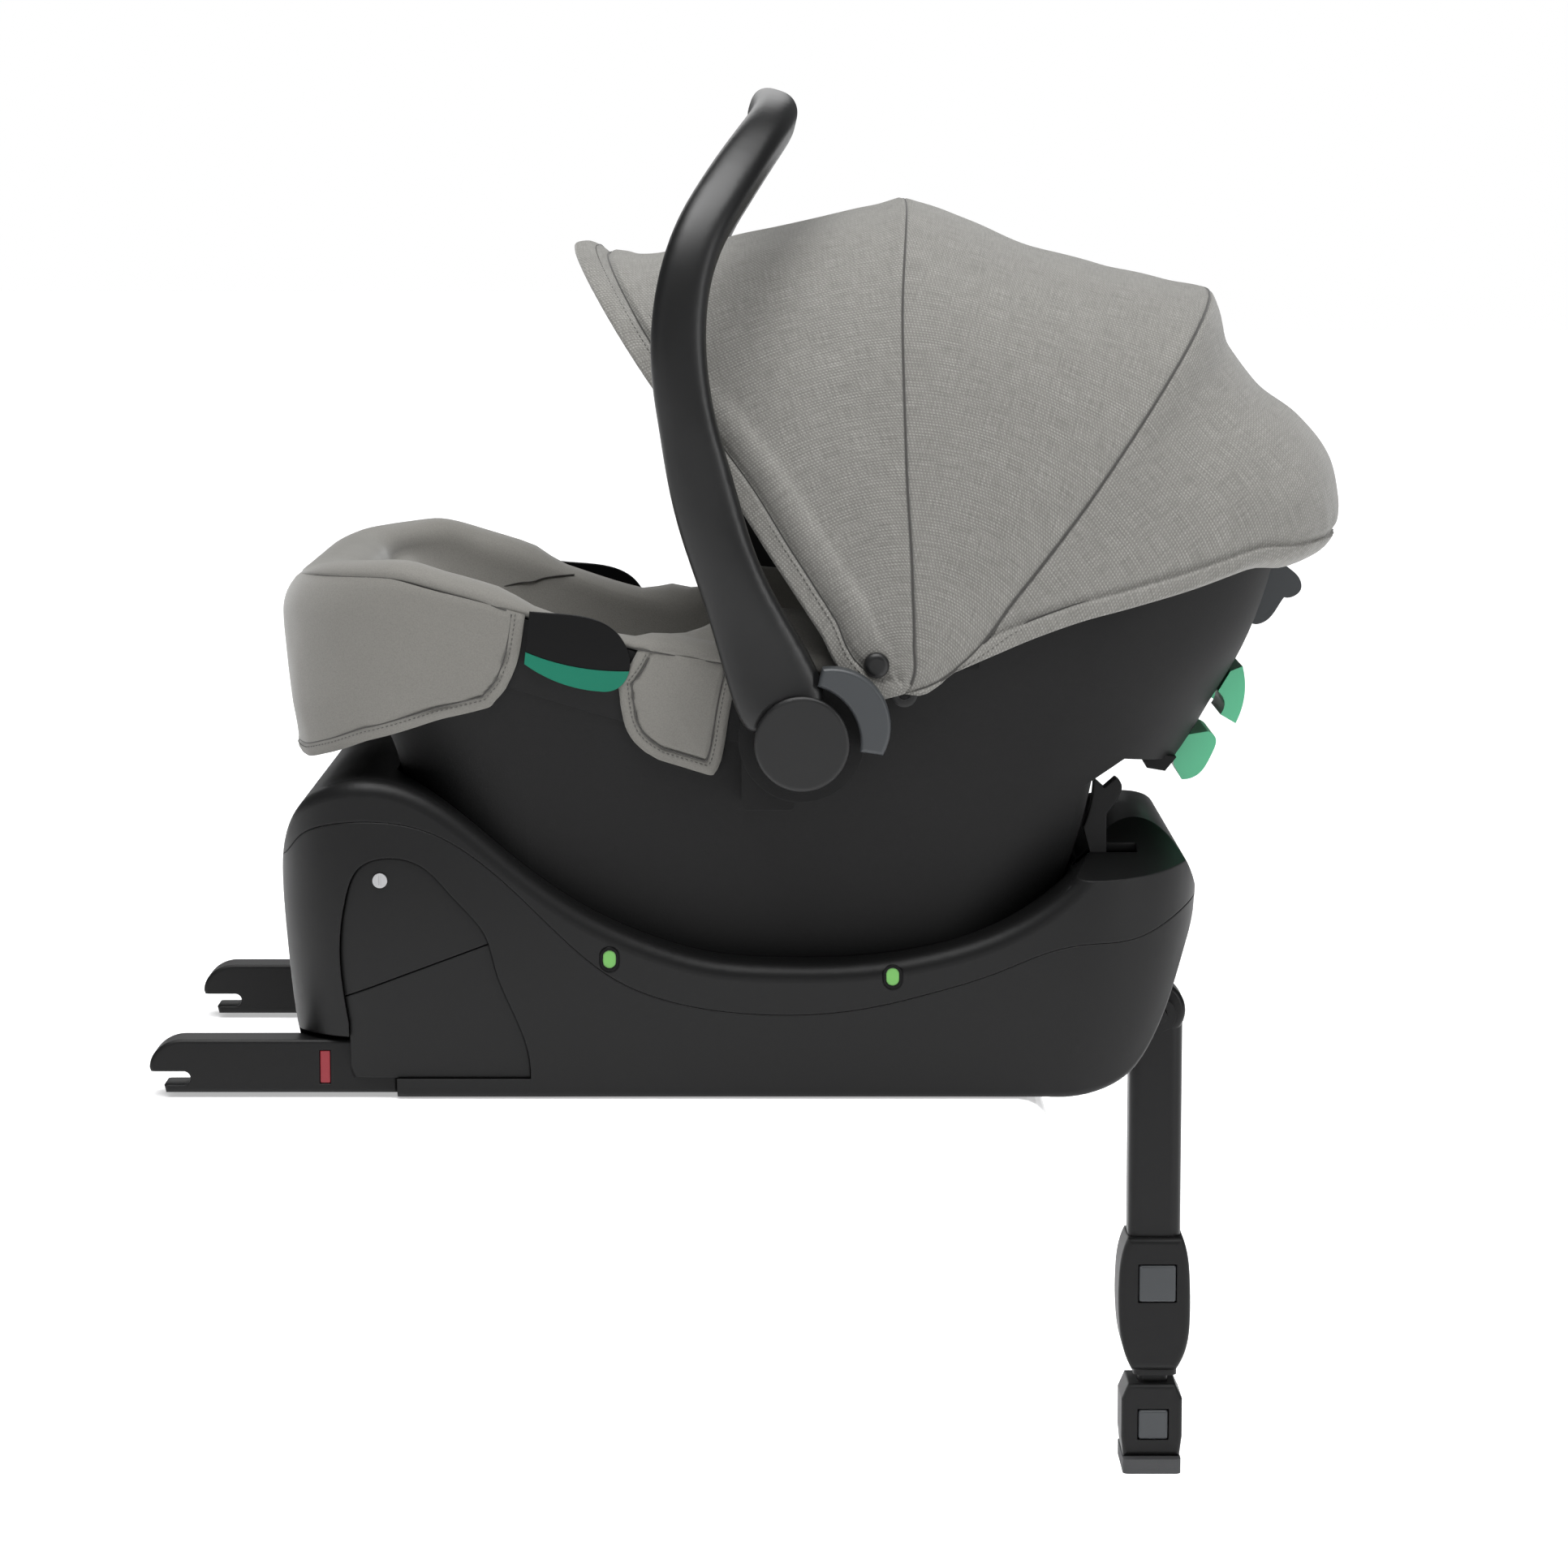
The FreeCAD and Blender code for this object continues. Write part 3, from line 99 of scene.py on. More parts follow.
addSoftbox("topSoftbox", (0.1, -0.2, 2.2), (0.05, 0.0, 0.2), (2.2, 1.6), 20)
addSoftbox("frontSoftbox", (-1.9, -2.2, 1.3), (0, 0, 0.2), (0.8, 1.6), 1.5)
addSoftbox("rightSoftbox", (2.3, -2.0, 0.9), (0.1, 0, 0.2), (0.34, 1.9), 18)
addSoftbox("seatCard", (-0.30, -0.45, 1.3), (0.0, 0.1, 0.28), (0.5, 0.5), 1.5)
addSoftbox("backSoftbox", (-0.6, 2.4, 1.6), (0, 0, 0.3), (2.2, 1.2), 14)
bpy.ops.object.light_add(type="SUN", location=(-1, -2, 3))
sun = bpy.context.object
sun.name = "wideSky"
sun.data.energy = 2.55
sun.data.angle = math.radians(50)
sun.rotation_euler = Vector((0.03, 0.36, -1.0)).to_track_quat("-Z", "Y").to_euler()

world = bpy.data.worlds.new("studioWorld")
bpy.context.scene.world = world
world.use_nodes = True
worldTree = world.node_tree
worldTree.nodes.clear()
worldOut = worldTree.nodes.new("ShaderNodeOutputWorld")
seenWhite = worldTree.nodes.new("ShaderNodeBackground")
seenWhite.inputs["Color"].default_value = (1, 1, 1, 1)
seenWhite.inputs["Strength"].default_value = 1.0
fillGrey = worldTree.nodes.new("ShaderNodeBackground")
fillGrey.inputs["Color"].default_value = (0.96, 0.98, 1.0, 1)
fillGrey.inputs["Strength"].default_value = 0.12
rayKind = worldTree.nodes.new("ShaderNodeLightPath")
pickRay = worldTree.nodes.new("ShaderNodeMixShader")
worldTree.links.new(rayKind.outputs["Is Camera Ray"], pickRay.inputs[0])
worldTree.links.new(fillGrey.outputs[0], pickRay.inputs[1])
worldTree.links.new(seenWhite.outputs[0], pickRay.inputs[2])
worldTree.links.new(pickRay.outputs[0], worldOut.inputs["Surface"])
print("camera and studio light ready")


# small helpers

def pickNone():
    for other in bpy.context.selected_objects:
        other.select_set(False)


def pickOnly(obj):
    pickNone()
    obj.select_set(True)
    bpy.context.view_layer.objects.active = obj


def smoothAll(obj, angle=None):
    pickOnly(obj)
    if angle is None:
        bpy.ops.object.shade_smooth()
    else:
        bpy.ops.object.shade_smooth_by_angle(angle=math.radians(angle))


def applyModifier(obj, name):
    pickOnly(obj)
    bpy.ops.object.modifier_apply(modifier=name)


def addModifier(obj, kind, apply=True, **settings):
    mod = obj.modifiers.new(kind.lower(), kind)
    for key, value in settings.items():
        setattr(mod, key, value)
    if apply:
        applyModifier(obj, mod.name)
    return mod


def paint(obj, material):
    obj.data.materials.clear()
    obj.data.materials.append(material)


def seat(obj, body, slotName, *hidden):
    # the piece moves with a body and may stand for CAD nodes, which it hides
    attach(obj, body)
    if hidden:
        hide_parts(*hidden)


def softRamp(low, high, value):
    t = min(max((value - low) / (high - low), 0), 1)
    return t * t * (3 - 2 * t)


def alongCurve(pairs, x):
    # a smooth curve through (x, value) pairs that never overshoots, read at x
    if x <= pairs[0][0]:
        return pairs[0][1]
    if x >= pairs[-1][0]:
        return pairs[-1][1]
    n = 0
    while pairs[n + 1][0] < x:
        n += 1

    def slope(i):
        if i <= 0 or i >= len(pairs) - 1:
            return 0 if len(pairs) > 2 and i <= 0 else (
                (pairs[-1][1] - pairs[-2][1]) / (pairs[-1][0] - pairs[-2][0]) if i > 0 else
                (pairs[1][1] - pairs[0][1]) / (pairs[1][0] - pairs[0][0]))
        a = (pairs[i][1] - pairs[i - 1][1]) / (pairs[i][0] - pairs[i - 1][0])
        b = (pairs[i + 1][1] - pairs[i][1]) / (pairs[i + 1][0] - pairs[i][0])
        return 0 if a * b <= 0 else 2 * a * b / (a + b)

    (x0, y0), (x1, y1) = pairs[n], pairs[n + 1]
    h = x1 - x0
    t = (x - x0) / h
    a, b = slope(n), slope(n + 1)
    return (y0 * (1 + 2 * t) * (1 - t) ** 2 + h * a * t * (1 - t) ** 2
            + y1 * t * t * (3 - 2 * t) + h * b * t * t * (t - 1))


def gridPiece(name, columns, rows, shape, uvSize=None):
    # a flat grid whose points are moved by shape(u, v); its UV map gets real lengths
    pickNone()
    bpy.ops.mesh.primitive_grid_add(x_subdivisions=columns, y_subdivisions=rows, size=1)
    obj = bpy.context.object
    obj.name = name
    mesh = obj.data
    uvs = mesh.uv_layers.active or mesh.uv_layers.new(name="UVMap")
    spot = [(v.co.x + 0.5, v.co.y + 0.5) for v in mesh.vertices]
    if uvSize:
        for loop in mesh.loops:
            u, v = spot[loop.vertex_index]
            uvs.data[loop.index].uv = uvSize(u, v)
    for v in mesh.vertices:
        v.co = shape(*spot[v.index])
    mesh.update()
    return obj


# materials

def startMaterial(name, colour, roughness, **sockets):
    mat = bpy.data.materials.new(name)
    mat.use_nodes = True
    tree = mat.node_tree
    shader = tree.nodes["Principled BSDF"]
    shader.inputs["Base Color"].default_value = (*colour, 1)
    shader.inputs["Roughness"].default_value = roughness
    for key, value in sockets.items():
        shader.inputs[key].default_value = value
    mat.diffuse_color = (*colour, 1)
    return mat, tree, shader


def addNode(tree, kind, inputs=None, **settings):
    node = tree.nodes.new("ShaderNode" + kind)
    for key, value in settings.items():
        setattr(node, key, value)
    for key, value in (inputs or {}).items():
        if isinstance(value, bpy.types.NodeSocket):
            tree.links.new(value, node.inputs[key])
        else:
            node.inputs[key].default_value = value
    return node


def mixColour(tree, factor, dark, light):
    mix = addNode(tree, "Mix", data_type="RGBA")
    for socket, value in ((mix.inputs[0], factor), (mix.inputs[6], dark), (mix.inputs[7], light)):
        if isinstance(value, bpy.types.NodeSocket):
            tree.links.new(value, socket)
        elif isinstance(value, (tuple, list)):
            socket.default_value = (*value[:3], 1)
        else:
            socket.default_value = value
    return mix.outputs[2]


def spanTo(tree, value, low, high):
    span = addNode(tree, "MapRange", {"Value": value, "To Min": low, "To Max": high})
    return span.outputs[0]


def mould(name, colour, roughness, grain=1.0 * mm, depth=0.05, edge=0.5 * mm, wear=1.6, **sockets):
    # moulded plastic: grain in the tool, cloudy gloss, softened and slightly worn edges
    mat, tree, shader = startMaterial(name, colour, roughness, **sockets)
    place = addNode(tree, "TexCoord").outputs["Object"]
    cloud = addNode(tree, "TexNoise", {"Vector": place, "Scale": 9.0, "Detail": 3.0})
    leather = addNode(tree, "TexVoronoi", {"Vector": place, "Scale": 1 / grain, "Randomness": 1.0})
    fine = addNode(tree, "TexNoise", {"Vector": place, "Scale": 0.7 / grain, "Detail": 2.0})
    pebble = addNode(tree, "Math", {0: leather.outputs["Distance"], 1: fine.outputs[0]},
                     operation="MULTIPLY")
    softEdge = addNode(tree, "Bevel", {"Radius": edge}, samples=4)
    bump = addNode(tree, "Bump", {"Strength": depth, "Distance": 0.4 * mm,
                                  "Height": pebble.outputs[0], "Normal": softEdge.outputs[0]})
    tree.links.new(bump.outputs[0], shader.inputs["Normal"])
    flat = addNode(tree, "NewGeometry").outputs["Normal"]
    facing = addNode(tree, "VectorMath", {0: softEdge.outputs[0], 1: flat}, operation="DOT_PRODUCT")
    rub = addNode(tree, "MapRange", {"Value": facing.outputs["Value"], "From Min": 0.995,
                                     "From Max": 0.86, "To Min": 0.0, "To Max": 1.0})
    scuff = addNode(tree, "TexNoise", {"Vector": place, "Scale": 55.0, "Detail": 4.0})
    patch = addNode(tree, "Math", {0: rub.outputs[0], 1: scuff.outputs[0]}, operation="MULTIPLY")
    light = tuple(min(c * wear + 0.004, 1) for c in colour)
    dark = tuple(c * 0.86 for c in colour)
    body = mixColour(tree, spanTo(tree, cloud.outputs[0], 0.1, 0.9), dark,
                     tuple(c * 1.08 for c in colour))
    tree.links.new(mixColour(tree, patch.outputs[0], body, light), shader.inputs["Base Color"])
    tree.links.new(spanTo(tree, cloud.outputs[0], roughness - 0.05, roughness + 0.06),
                   shader.inputs["Roughness"])
    return mat


def weave(name, dark, light, thread=0.9 * mm, twill=True, streak=1.0, fuzz=0.25, bumpDepth=0.5):
    # woven cloth on a UV map in metres: melange threads both ways over a twill
    mat, tree, shader = startMaterial(name, light, 0.86)
    shader.inputs["Sheen Weight"].default_value = fuzz
    shader.inputs["Sheen Roughness"].default_value = 0.55
    shader.inputs["Specular IOR Level"].default_value = 0.25
    uv = addNode(tree, "UVMap").outputs[0]
    warp = addNode(tree, "Mapping", {"Vector": uv, "Scale": (55, 1250, 1)})
    weft = addNode(tree, "Mapping", {"Vector": uv, "Scale": (1250, 55, 1)})
    warpNoise = addNode(tree, "TexNoise", {"Vector": warp.outputs[0], "Scale": 1.0, "Detail": 2.0})
    weftNoise = addNode(tree, "TexNoise", {"Vector": weft.outputs[0], "Scale": 1.0, "Detail": 2.0})
    wide = addNode(tree, "TexNoise", {"Vector": uv, "Scale": 26.0, "Detail": 2.0})
    both = addNode(tree, "Math", {0: warpNoise.outputs[0], 1: weftNoise.outputs[0]},
                   operation="ADD")
    ridge = addNode(tree, "Mapping", {"Vector": uv,
                                      "Rotation": (0, 0, math.radians(27 if twill else 0))})
    wave = addNode(tree, "TexWave", {"Vector": ridge.outputs[0], "Scale": 0.16 / thread,
                                     "Distortion": 0.6, "Detail": 1.0, "Detail Scale": 2.0},
                   bands_direction="Y")
    cross = addNode(tree, "TexWave", {"Vector": uv, "Scale": 0.16 / thread, "Distortion": 0.5},
                    bands_direction="X")
    knot = addNode(tree, "Math", {0: wave.outputs["Fac"], 1: cross.outputs["Fac"]},
                   operation="MULTIPLY")
    tone = addNode(tree, "MapRange", {"Value": both.outputs[0], "From Min": 0.72, "From Max": 1.28,
                                      "To Min": 0.5 - 0.5 * streak, "To Max": 0.5 + 0.5 * streak})
    toneWide = addNode(tree, "Math", {0: tone.outputs[0],
                                      1: spanTo(tree, wide.outputs[0], -0.14, 0.14)},
                       operation="ADD", use_clamp=True)
    deep = mixColour(tree, toneWide.outputs[0], dark, light)
    shade = tuple(c * 0.62 for c in dark)
    lit = mixColour(tree, spanTo(tree, knot.outputs[0], 0.35, 1.0), shade, deep)
    tree.links.new(lit, shader.inputs["Base Color"])
    height = addNode(tree, "Math", {0: knot.outputs[0], 1: both.outputs[0]}, operation="ADD")
    bump = addNode(tree, "Bump", {"Strength": bumpDepth, "Distance": 0.35 * mm,
                                  "Height": height.outputs[0]})
    tree.links.new(bump.outputs[0], shader.inputs["Normal"])
    return mat


def knit(name, dark, light, stitch=0.8 * mm, fuzz=0.35, depth=0.3):
    # close knit on foam: tiny loops on object coordinates, soft mottling and a felt sheen
    mat, tree, shader = startMaterial(name, light, 0.82)
    shader.inputs["Sheen Weight"].default_value = fuzz
    shader.inputs["Sheen Roughness"].default_value = 0.5
    shader.inputs["Specular IOR Level"].default_value = 0.25
    place = addNode(tree, "TexCoord").outputs["Object"]
    loops = addNode(tree, "TexVoronoi", {"Vector": place, "Scale": 1 / stitch, "Randomness": 1.0})
    cloud = addNode(tree, "TexNoise", {"Vector": place, "Scale": 14.0, "Detail": 3.0})
    fleck = addNode(tree, "TexNoise", {"Vector": place, "Scale": 900.0, "Detail": 1.0})
    tone = addNode(tree, "Math", {0: spanTo(tree, cloud.outputs[0], 0.2, 0.8),
                                  1: spanTo(tree, fleck.outputs[0], -0.35, 0.35)},
                   operation="ADD", use_clamp=True)
    base = mixColour(tree, tone.outputs[0], dark, light)
    shade = mixColour(tree, spanTo(tree, loops.outputs["Distance"], 0.0, 0.45), base,
                      tuple(c * 0.7 for c in dark))
    tree.links.new(shade, shader.inputs["Base Color"])
    bump = addNode(tree, "Bump", {"Strength": depth, "Distance": 0.3 * mm,
                                  "Height": loops.outputs["Distance"]}, invert=True)
    tree.links.new(bump.outputs[0], shader.inputs["Normal"])
    return mat


def webbingMaterial(name, colour, pitch=1.6 * mm):
    mat, tree, shader = startMaterial(name, colour, 0.62)
    shader.inputs["Sheen Weight"].default_value = 0.2
    place = addNode(tree, "TexCoord").outputs["Object"]
    lengthWise = addNode(tree, "TexWave", {"Vector": place, "Scale": 0.16 / pitch,
                                           "Distortion": 0.3}, bands_direction="Y")
    slanted = addNode(tree, "Mapping", {"Vector": place, "Rotation": (0.6, 0.7, 0.5)})
    crossWise = addNode(tree, "TexWave", {"Vector": slanted.outputs[0], "Scale": 0.16 / pitch,
                                          "Distortion": 0.3}, bands_direction="X")
    grid = addNode(tree, "Math", {0: lengthWise.outputs["Fac"], 1: crossWise.outputs["Fac"]},
                   operation="MULTIPLY")
    tone = mixColour(tree, grid.outputs[0], tuple(c * 0.55 for c in colour),
                     tuple(c * 1.5 for c in colour))
    tree.links.new(tone, shader.inputs["Base Color"])
    bump = addNode(tree, "Bump", {"Strength": 0.5, "Distance": 0.4 * mm, "Height": grid.outputs[0]})
    tree.links.new(bump.outputs[0], shader.inputs["Normal"])
    return mat


def brushed(name, colour, roughness, stretch=(900, 30, 30)):
    mat, tree, shader = startMaterial(name, colour, roughness, Metallic=1.0)
    place = addNode(tree, "TexCoord").outputs["Object"]
    lines = addNode(tree, "Mapping", {"Vector": place, "Scale": stretch})
    grain = addNode(tree, "TexNoise", {"Vector": lines.outputs[0], "Scale": 1.0, "Detail": 3.0})
    tree.links.new(spanTo(tree, grain.outputs[0], roughness - 0.12, roughness + 0.16),
                   shader.inputs["Roughness"])
    softEdge = addNode(tree, "Bevel", {"Radius": 0.4 * mm}, samples=4)
    bump = addNode(tree, "Bump", {"Strength": 0.08, "Distance": 0.1 * mm,
                                  "Height": grain.outputs[0], "Normal": softEdge.outputs[0]})
    tree.links.new(bump.outputs[0], shader.inputs["Normal"])
    tone = mixColour(tree, grain.outputs[0], tuple(c * 0.8 for c in colour), colour)
    tree.links.new(tone, shader.inputs["Base Color"])
    return mat


finishes = {
    "shell_black": mould("grainedShell", (0.0082, 0.0082, 0.0084), 0.62, grain=1.1 * mm, depth=0.20,
                         edge=0.9 * mm, **{"Specular IOR Level": 0.22}),
    "handle_black": mould("satinHandle", (0.0052, 0.0052, 0.0054), 0.36, grain=0.7 * mm, depth=0.05,
                          edge=2.6 * mm, **{"Specular IOR Level": 0.48}),
    "base_black": mould("satinBase", (0.0068, 0.0068, 0.0070), 0.42, grain=0.8 * mm, depth=0.07,
                        edge=1.6 * mm, **{"Specular IOR Level": 0.24}),
    "trim_black": mould("glossTrim", (0.0018, 0.0018, 0.0020), 0.10, grain=2.5 * mm, depth=0.01,
                        edge=1.3 * mm, wear=1.2, **{"Specular IOR Level": 0.08, "Coat Weight": 0.10,
                                                    "Coat Roughness": 0.05}),
    "button_grey": mould("satinButton", (0.040, 0.044, 0.048), 0.42, grain=0.8 * mm, depth=0.06),
    "dark_green": mould("greenStrip", (0.003, 0.165, 0.100), 0.30, grain=2 * mm, depth=0.01,
                        wear=1.15, **{"Specular IOR Level": 0.2}),
    "guide_green": mould("greenGuide", (0.110, 0.530, 0.290), 0.34, grain=1.4 * mm, depth=0.02,
                         wear=1.1),
    "window_green": mould("greenWindow", (0.105, 0.400, 0.045), 0.16, grain=3 * mm, depth=0.01,
                          edge=1.4 * mm, wear=1.2, **{"Coat Weight": 0.8}),
    "flag_red": mould("redFlag", (0.26, 0.012, 0.022), 0.30, grain=2 * mm, depth=0.01, wear=1.1),
    "buckle_red": mould("redButton", (0.42, 0.016, 0.014), 0.32, grain=1.2 * mm, depth=0.03,
                        wear=1.1),
    "steel": brushed("plainSteel", (0.56, 0.56, 0.57), 0.32),
    "dark_steel": mould("coatedSteel", (0.0085, 0.0085, 0.0087), 0.36, grain=0.5 * mm, depth=0.05,
                        **{"Specular IOR Level": 0.26}),
    "tube_black": mould("coatedTube", (0.0072, 0.0072, 0.0075), 0.36, grain=0.5 * mm, depth=0.04,
                        **{"Specular IOR Level": 0.26}),
    "foot_rubber": mould("footRubber", (0.045, 0.046, 0.048), 0.75, grain=1.0 * mm, depth=0.15),
    "foam": mould("beadFoam", (0.62, 0.62, 0.60), 0.9, grain=3.5 * mm, depth=0.5, wear=1.05),
    "cover_grey": knit("coverKnit", (0.180, 0.174, 0.158), (0.232, 0.225, 0.206), depth=0.2),
    "canopy_grey": weave("canopyWeave", (0.200, 0.195, 0.180), (0.355, 0.348, 0.325)),
    "webbing": webbingMaterial("harnessWebbing", (0.045, 0.045, 0.047)),
}
threadGrey = knit("seamThread", (0.07, 0.068, 0.062), (0.11, 0.107, 0.098), stitch=0.5 * mm)

for slotRow in frame["record"]["subparts"]:
    paint(cadNodes[slotRow["node"]], finishes[slotRow["material_slot"]])
print("materials on every CAD node")

# canopy: three gores of cloth over three bows, with folded hems and sewn seams

canopy = {
    "pivot": (105 * mm, 252 * mm),
    "half": 189 * mm,
    "thick": 1.5 * mm,
    "rimWidth": 13 * mm,
    "hemWidth": 11 * mm,
    "across": 132,
    # distance from the pivot and the tilt from upright of each edge there, in degrees
    "frontEdge": [(12, -104), (32, -80), (63, -54), (105, -45.5), (161, -41), (236, -39.5),
                  (300, -37.5), (330, -36)],
    "midSeam": [(0, 40), (8, 32), (30, 11), (68, 4), (138, 0.4), (220, -0.3), (295, 0.6)],
    "rearSeam": [(8, 74), (40, 62), (89, 49), (168, 43.4), (227, 41), (306, 38.7)],
    "hem": [(8, 96), (18, 80), (33, 66.5), (72, 66.5), (108, 67.4), (148, 69.3), (189, 70.3),
            (232, 70.6), (262, 72.4), (300, 73.4)],
    # share of each gore from front to rear, and how far the cloth reaches there
    "frontReach": [(0, 334), (0.03, 331), (0.07, 318), (0.20, 299.5), (0.42, 290), (0.7, 286.5),
                   (0.9, 290), (1, 295.5)],
    "midReach": [(0, 294.5), (0.05, 292), (0.22, 282.5), (0.42, 276.8), (0.65, 281.5), (0.9, 297.5),
                 (1, 307)],
    "rearReach": [(0, 307), (0.06, 302.5), (0.18, 289.8), (0.33, 286.8), (0.52, 294.5),
                  (0.69, 298.6), (0.84, 293), (0.925, 286), (0.975, 276), (1, 262)],
}


def archSpot(phi, reach, square, lift):
    # (y, r) on a squared arch over the shell, lifted off it along its own normal
    half = canopy["half"]
    c, s = -math.cos(phi), max(math.sin(phi), 0)
    rho = (abs(c / half) ** square + (s / reach) ** square) ** (-1 / square)
    y, r = c * rho, s * rho
    ny = math.copysign((abs(y) / half) ** (square - 1) / half, y)
    nr = (r / reach) ** (square - 1) / reach
    size = math.hypot(ny, nr)
    return y + lift * ny / size, r + lift * nr / size


def onCanopy(tilt, y, r):
    px, pz = canopy["pivot"]
    a = math.radians(tilt)
    return Vector((px + r * math.sin(a), y, pz + r * math.cos(a)))


def goreSpot(gore, phi, share, distance=None, fromFront=True, lift=0):
    # a place on a gore by its share from front to rear, or by a distance from an edge
    frontLine, rearLine, reachLine, square = gore
    square = square[0] + (square[1] - square[0]) * share
    y, r = archSpot(phi, 300 * mm, square, 0)
    tiltA = alongCurve(frontLine, r / mm)
    tiltB = alongCurve(rearLine, r / mm)
    if distance is not None:
        step = min(math.degrees(distance / max(r, 6 * mm)), 0.42 * (tiltB - tiltA))
        share = step / (tiltB - tiltA) if fromFront else 1 - step / (tiltB - tiltA)
    y, r = archSpot(phi, alongCurve(reachLine, share) * mm, square, lift)
    fromEdges = [math.radians((tiltB - tiltA) * k) * r for k in (share, 1 - share)]
    return onCanopy(tiltA + (tiltB - tiltA) * share, y, r), r, fromEdges


gores = {
    "front": (canopy["frontEdge"], canopy["midSeam"], canopy["frontReach"], (3.3, 3.3)),
    "mid": (canopy["midSeam"], canopy["rearSeam"], canopy["midReach"], (3.3, 3.5)),
    "rear": (canopy["rearSeam"], canopy["hem"], canopy["rearReach"], (3.5, 4.4)),
}


def bandLift(d, width):
    # height of a folded hem over the cloth, d from its edge: rolled edge, flat band, sewn groove
    if d < 1.6 * mm:
        return (-0.9 + 2.1 * math.sqrt(max(d, 0) / (1.6 * mm))) * mm
    if d < width - 2.0 * mm:
        return 1.3 * mm
    if d < width:
        return (1.3 - 3.2 * softRamp(width - 2.0 * mm, width, d)) * mm
    return -1.9 * mm * (1 - softRamp(width + 0.6 * mm, width + 4.5 * mm, d))


def seamDip(d):
    return -1.3 * mm * (1 - softRamp(0.2 * mm, 2.4 * mm, d))


def ripple(spot, size, depth, seed):
    return depth * (noise.noise((spot / size) + Vector((seed, seed * 0.7, 3.1))))


def rowSpacing(v, denseStart, denseEnd):
    # grid rows packed towards the edges that carry a hem or a seam
    a, b = denseStart, denseEnd
    if v < a[1]:
        return v / a[1] * a[0]
    if v > 1 - b[1]:
        return 1 - (1 - v) / b[1] * b[0]
    return a[0] + (v - a[1]) / (1 - a[1] - b[1]) * (1 - a[0] - b[0])


def sewGore(name, part, rows, dense, front="seam", rear="seam"):
    gore = gores[part]
    across = [0]
    last = None
    for n in range(canopy["across"] + 1):
        y, r = archSpot(math.pi * n / canopy["across"], 295 * mm, 3.4, 0)
        if last:
            across.append(across[-1] + math.hypot(y - last[0], r - last[1]))
        last = (y, r)

    def place(u, v):
        phi = math.pi * u
        share = rowSpacing(v, *dense)
        spot, r, (fromFront, fromRear) = goreSpot(gore, phi, share)
        lift = 0
        if front == "rim":
            lift += bandLift(fromFront, canopy["rimWidth"]) if fromFront < 20 * mm else 0
            top = softRamp(150 * mm, 290 * mm, r)
            foldAt = (31 - 8 * top) * mm
            puff = softRamp(canopy["rimWidth"], foldAt - 5 * mm, fromFront)
            puff *= 1 - softRamp(foldAt - 1 * mm, foldAt + 5 * mm, fromFront)
            lift += puff * (5.2 - 3.4 * top) * mm * softRamp(18 * mm, 60 * mm, r)
        else:
            lift += seamDip(fromFront)
        if rear == "hem":
            lift += bandLift(fromRear, canopy["hemWidth"]) if fromRear < 18 * mm else 0
            gather = softRamp(210 * mm, 262 * mm, r) * (1 - softRamp(4 * mm, 46 * mm, fromRear))
            lift += gather * 1.7 * mm * math.sin(u * 300) * (0.6 + 0.5 * math.sin(u * 71 + 1))
        else:
            lift += seamDip(fromRear)
        inside = softRamp(0, 26 * mm, min(fromFront, fromRear))
        slack = math.sin(math.pi * share) * softRamp(30 * mm, 120 * mm, r)
        side = 1 - softRamp(0.10, 0.32, min(u, 1 - u))
        lift += inside * (ripple(spot, 0.085, 2.2 * mm, len(name)) - 2.6 * mm * slack * side)
        lift += inside * ripple(spot, 0.030, 0.7 * mm, 2 + len(name))
        return goreSpot(gore, phi, share, lift=lift)[0]

    def clothSize(u, v):
        spot, r, (fromFront, fromRear) = goreSpot(gore, math.pi * u, rowSpacing(v, *dense))
        n = min(int(u * canopy["across"]), canopy["across"] - 1)
        length = across[n] + (u * canopy["across"] - n) * (across[n + 1] - across[n])
        return length, (fromFront - fromRear) / 2

    cloth = gridPiece(name, canopy["across"], rows, place, clothSize)
    pickOnly(cloth)
    bpy.ops.object.mode_set(mode="EDIT")
    bpy.ops.mesh.select_all(action="SELECT")
    bpy.ops.mesh.remove_doubles(threshold=0.05 * mm)
    bpy.ops.mesh.normals_make_consistent(inside=False)
    bpy.ops.object.mode_set(mode="OBJECT")
    middle = min(cloth.data.polygons, key=lambda f: (f.center - Vector((0.11, 0, 0.6))).length)
    if middle.normal.z < 0:
        cloth.data.flip_normals()
    addModifier(cloth, "SOLIDIFY", thickness=canopy["thick"], offset=-1, use_even_offset=False)
    smoothAll(cloth, 50)
    paint(cloth, finishes["canopy_grey"])
    return cloth


def tiltOf(co):
    px, pz = canopy["pivot"]
    return math.degrees(math.atan2(co.x - px, co.z - pz)), math.hypot(co.x - px, co.z - pz)


def foldWeights(cloth, part):
    # reads each point's tilt and reach and the gore's edge tilts there; it stores nothing
    gore = gores[part]
    for v in cloth.data.vertices:
        tilt, r = tiltOf(v.co)
        a, b = alongCurve(gore[0], r / mm), alongCurve(gore[1], r / mm)


frontCloth = sewGore("canopyFrontCloth", "front", 84, ((0.17, 0.44), (0.05, 0.09)), front="rim")
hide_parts("canopy_front_panel")
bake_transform(frontCloth)
foldWeights(frontCloth, "front")
midCloth = sewGore("canopyMidCloth", "mid", 46, ((0.05, 0.10), (0.05, 0.10)))
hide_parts("canopy_mid_panel")
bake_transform(midCloth)
foldWeights(midCloth, "mid")
rearCloth = sewGore("canopyRearCloth", "rear", 72, ((0.05, 0.10), (0.20, 0.36)), rear="hem")
seat(rearCloth, "carrier", "canopy_grey", "canopy_rear_panel")


print("canopy cloth sewn")


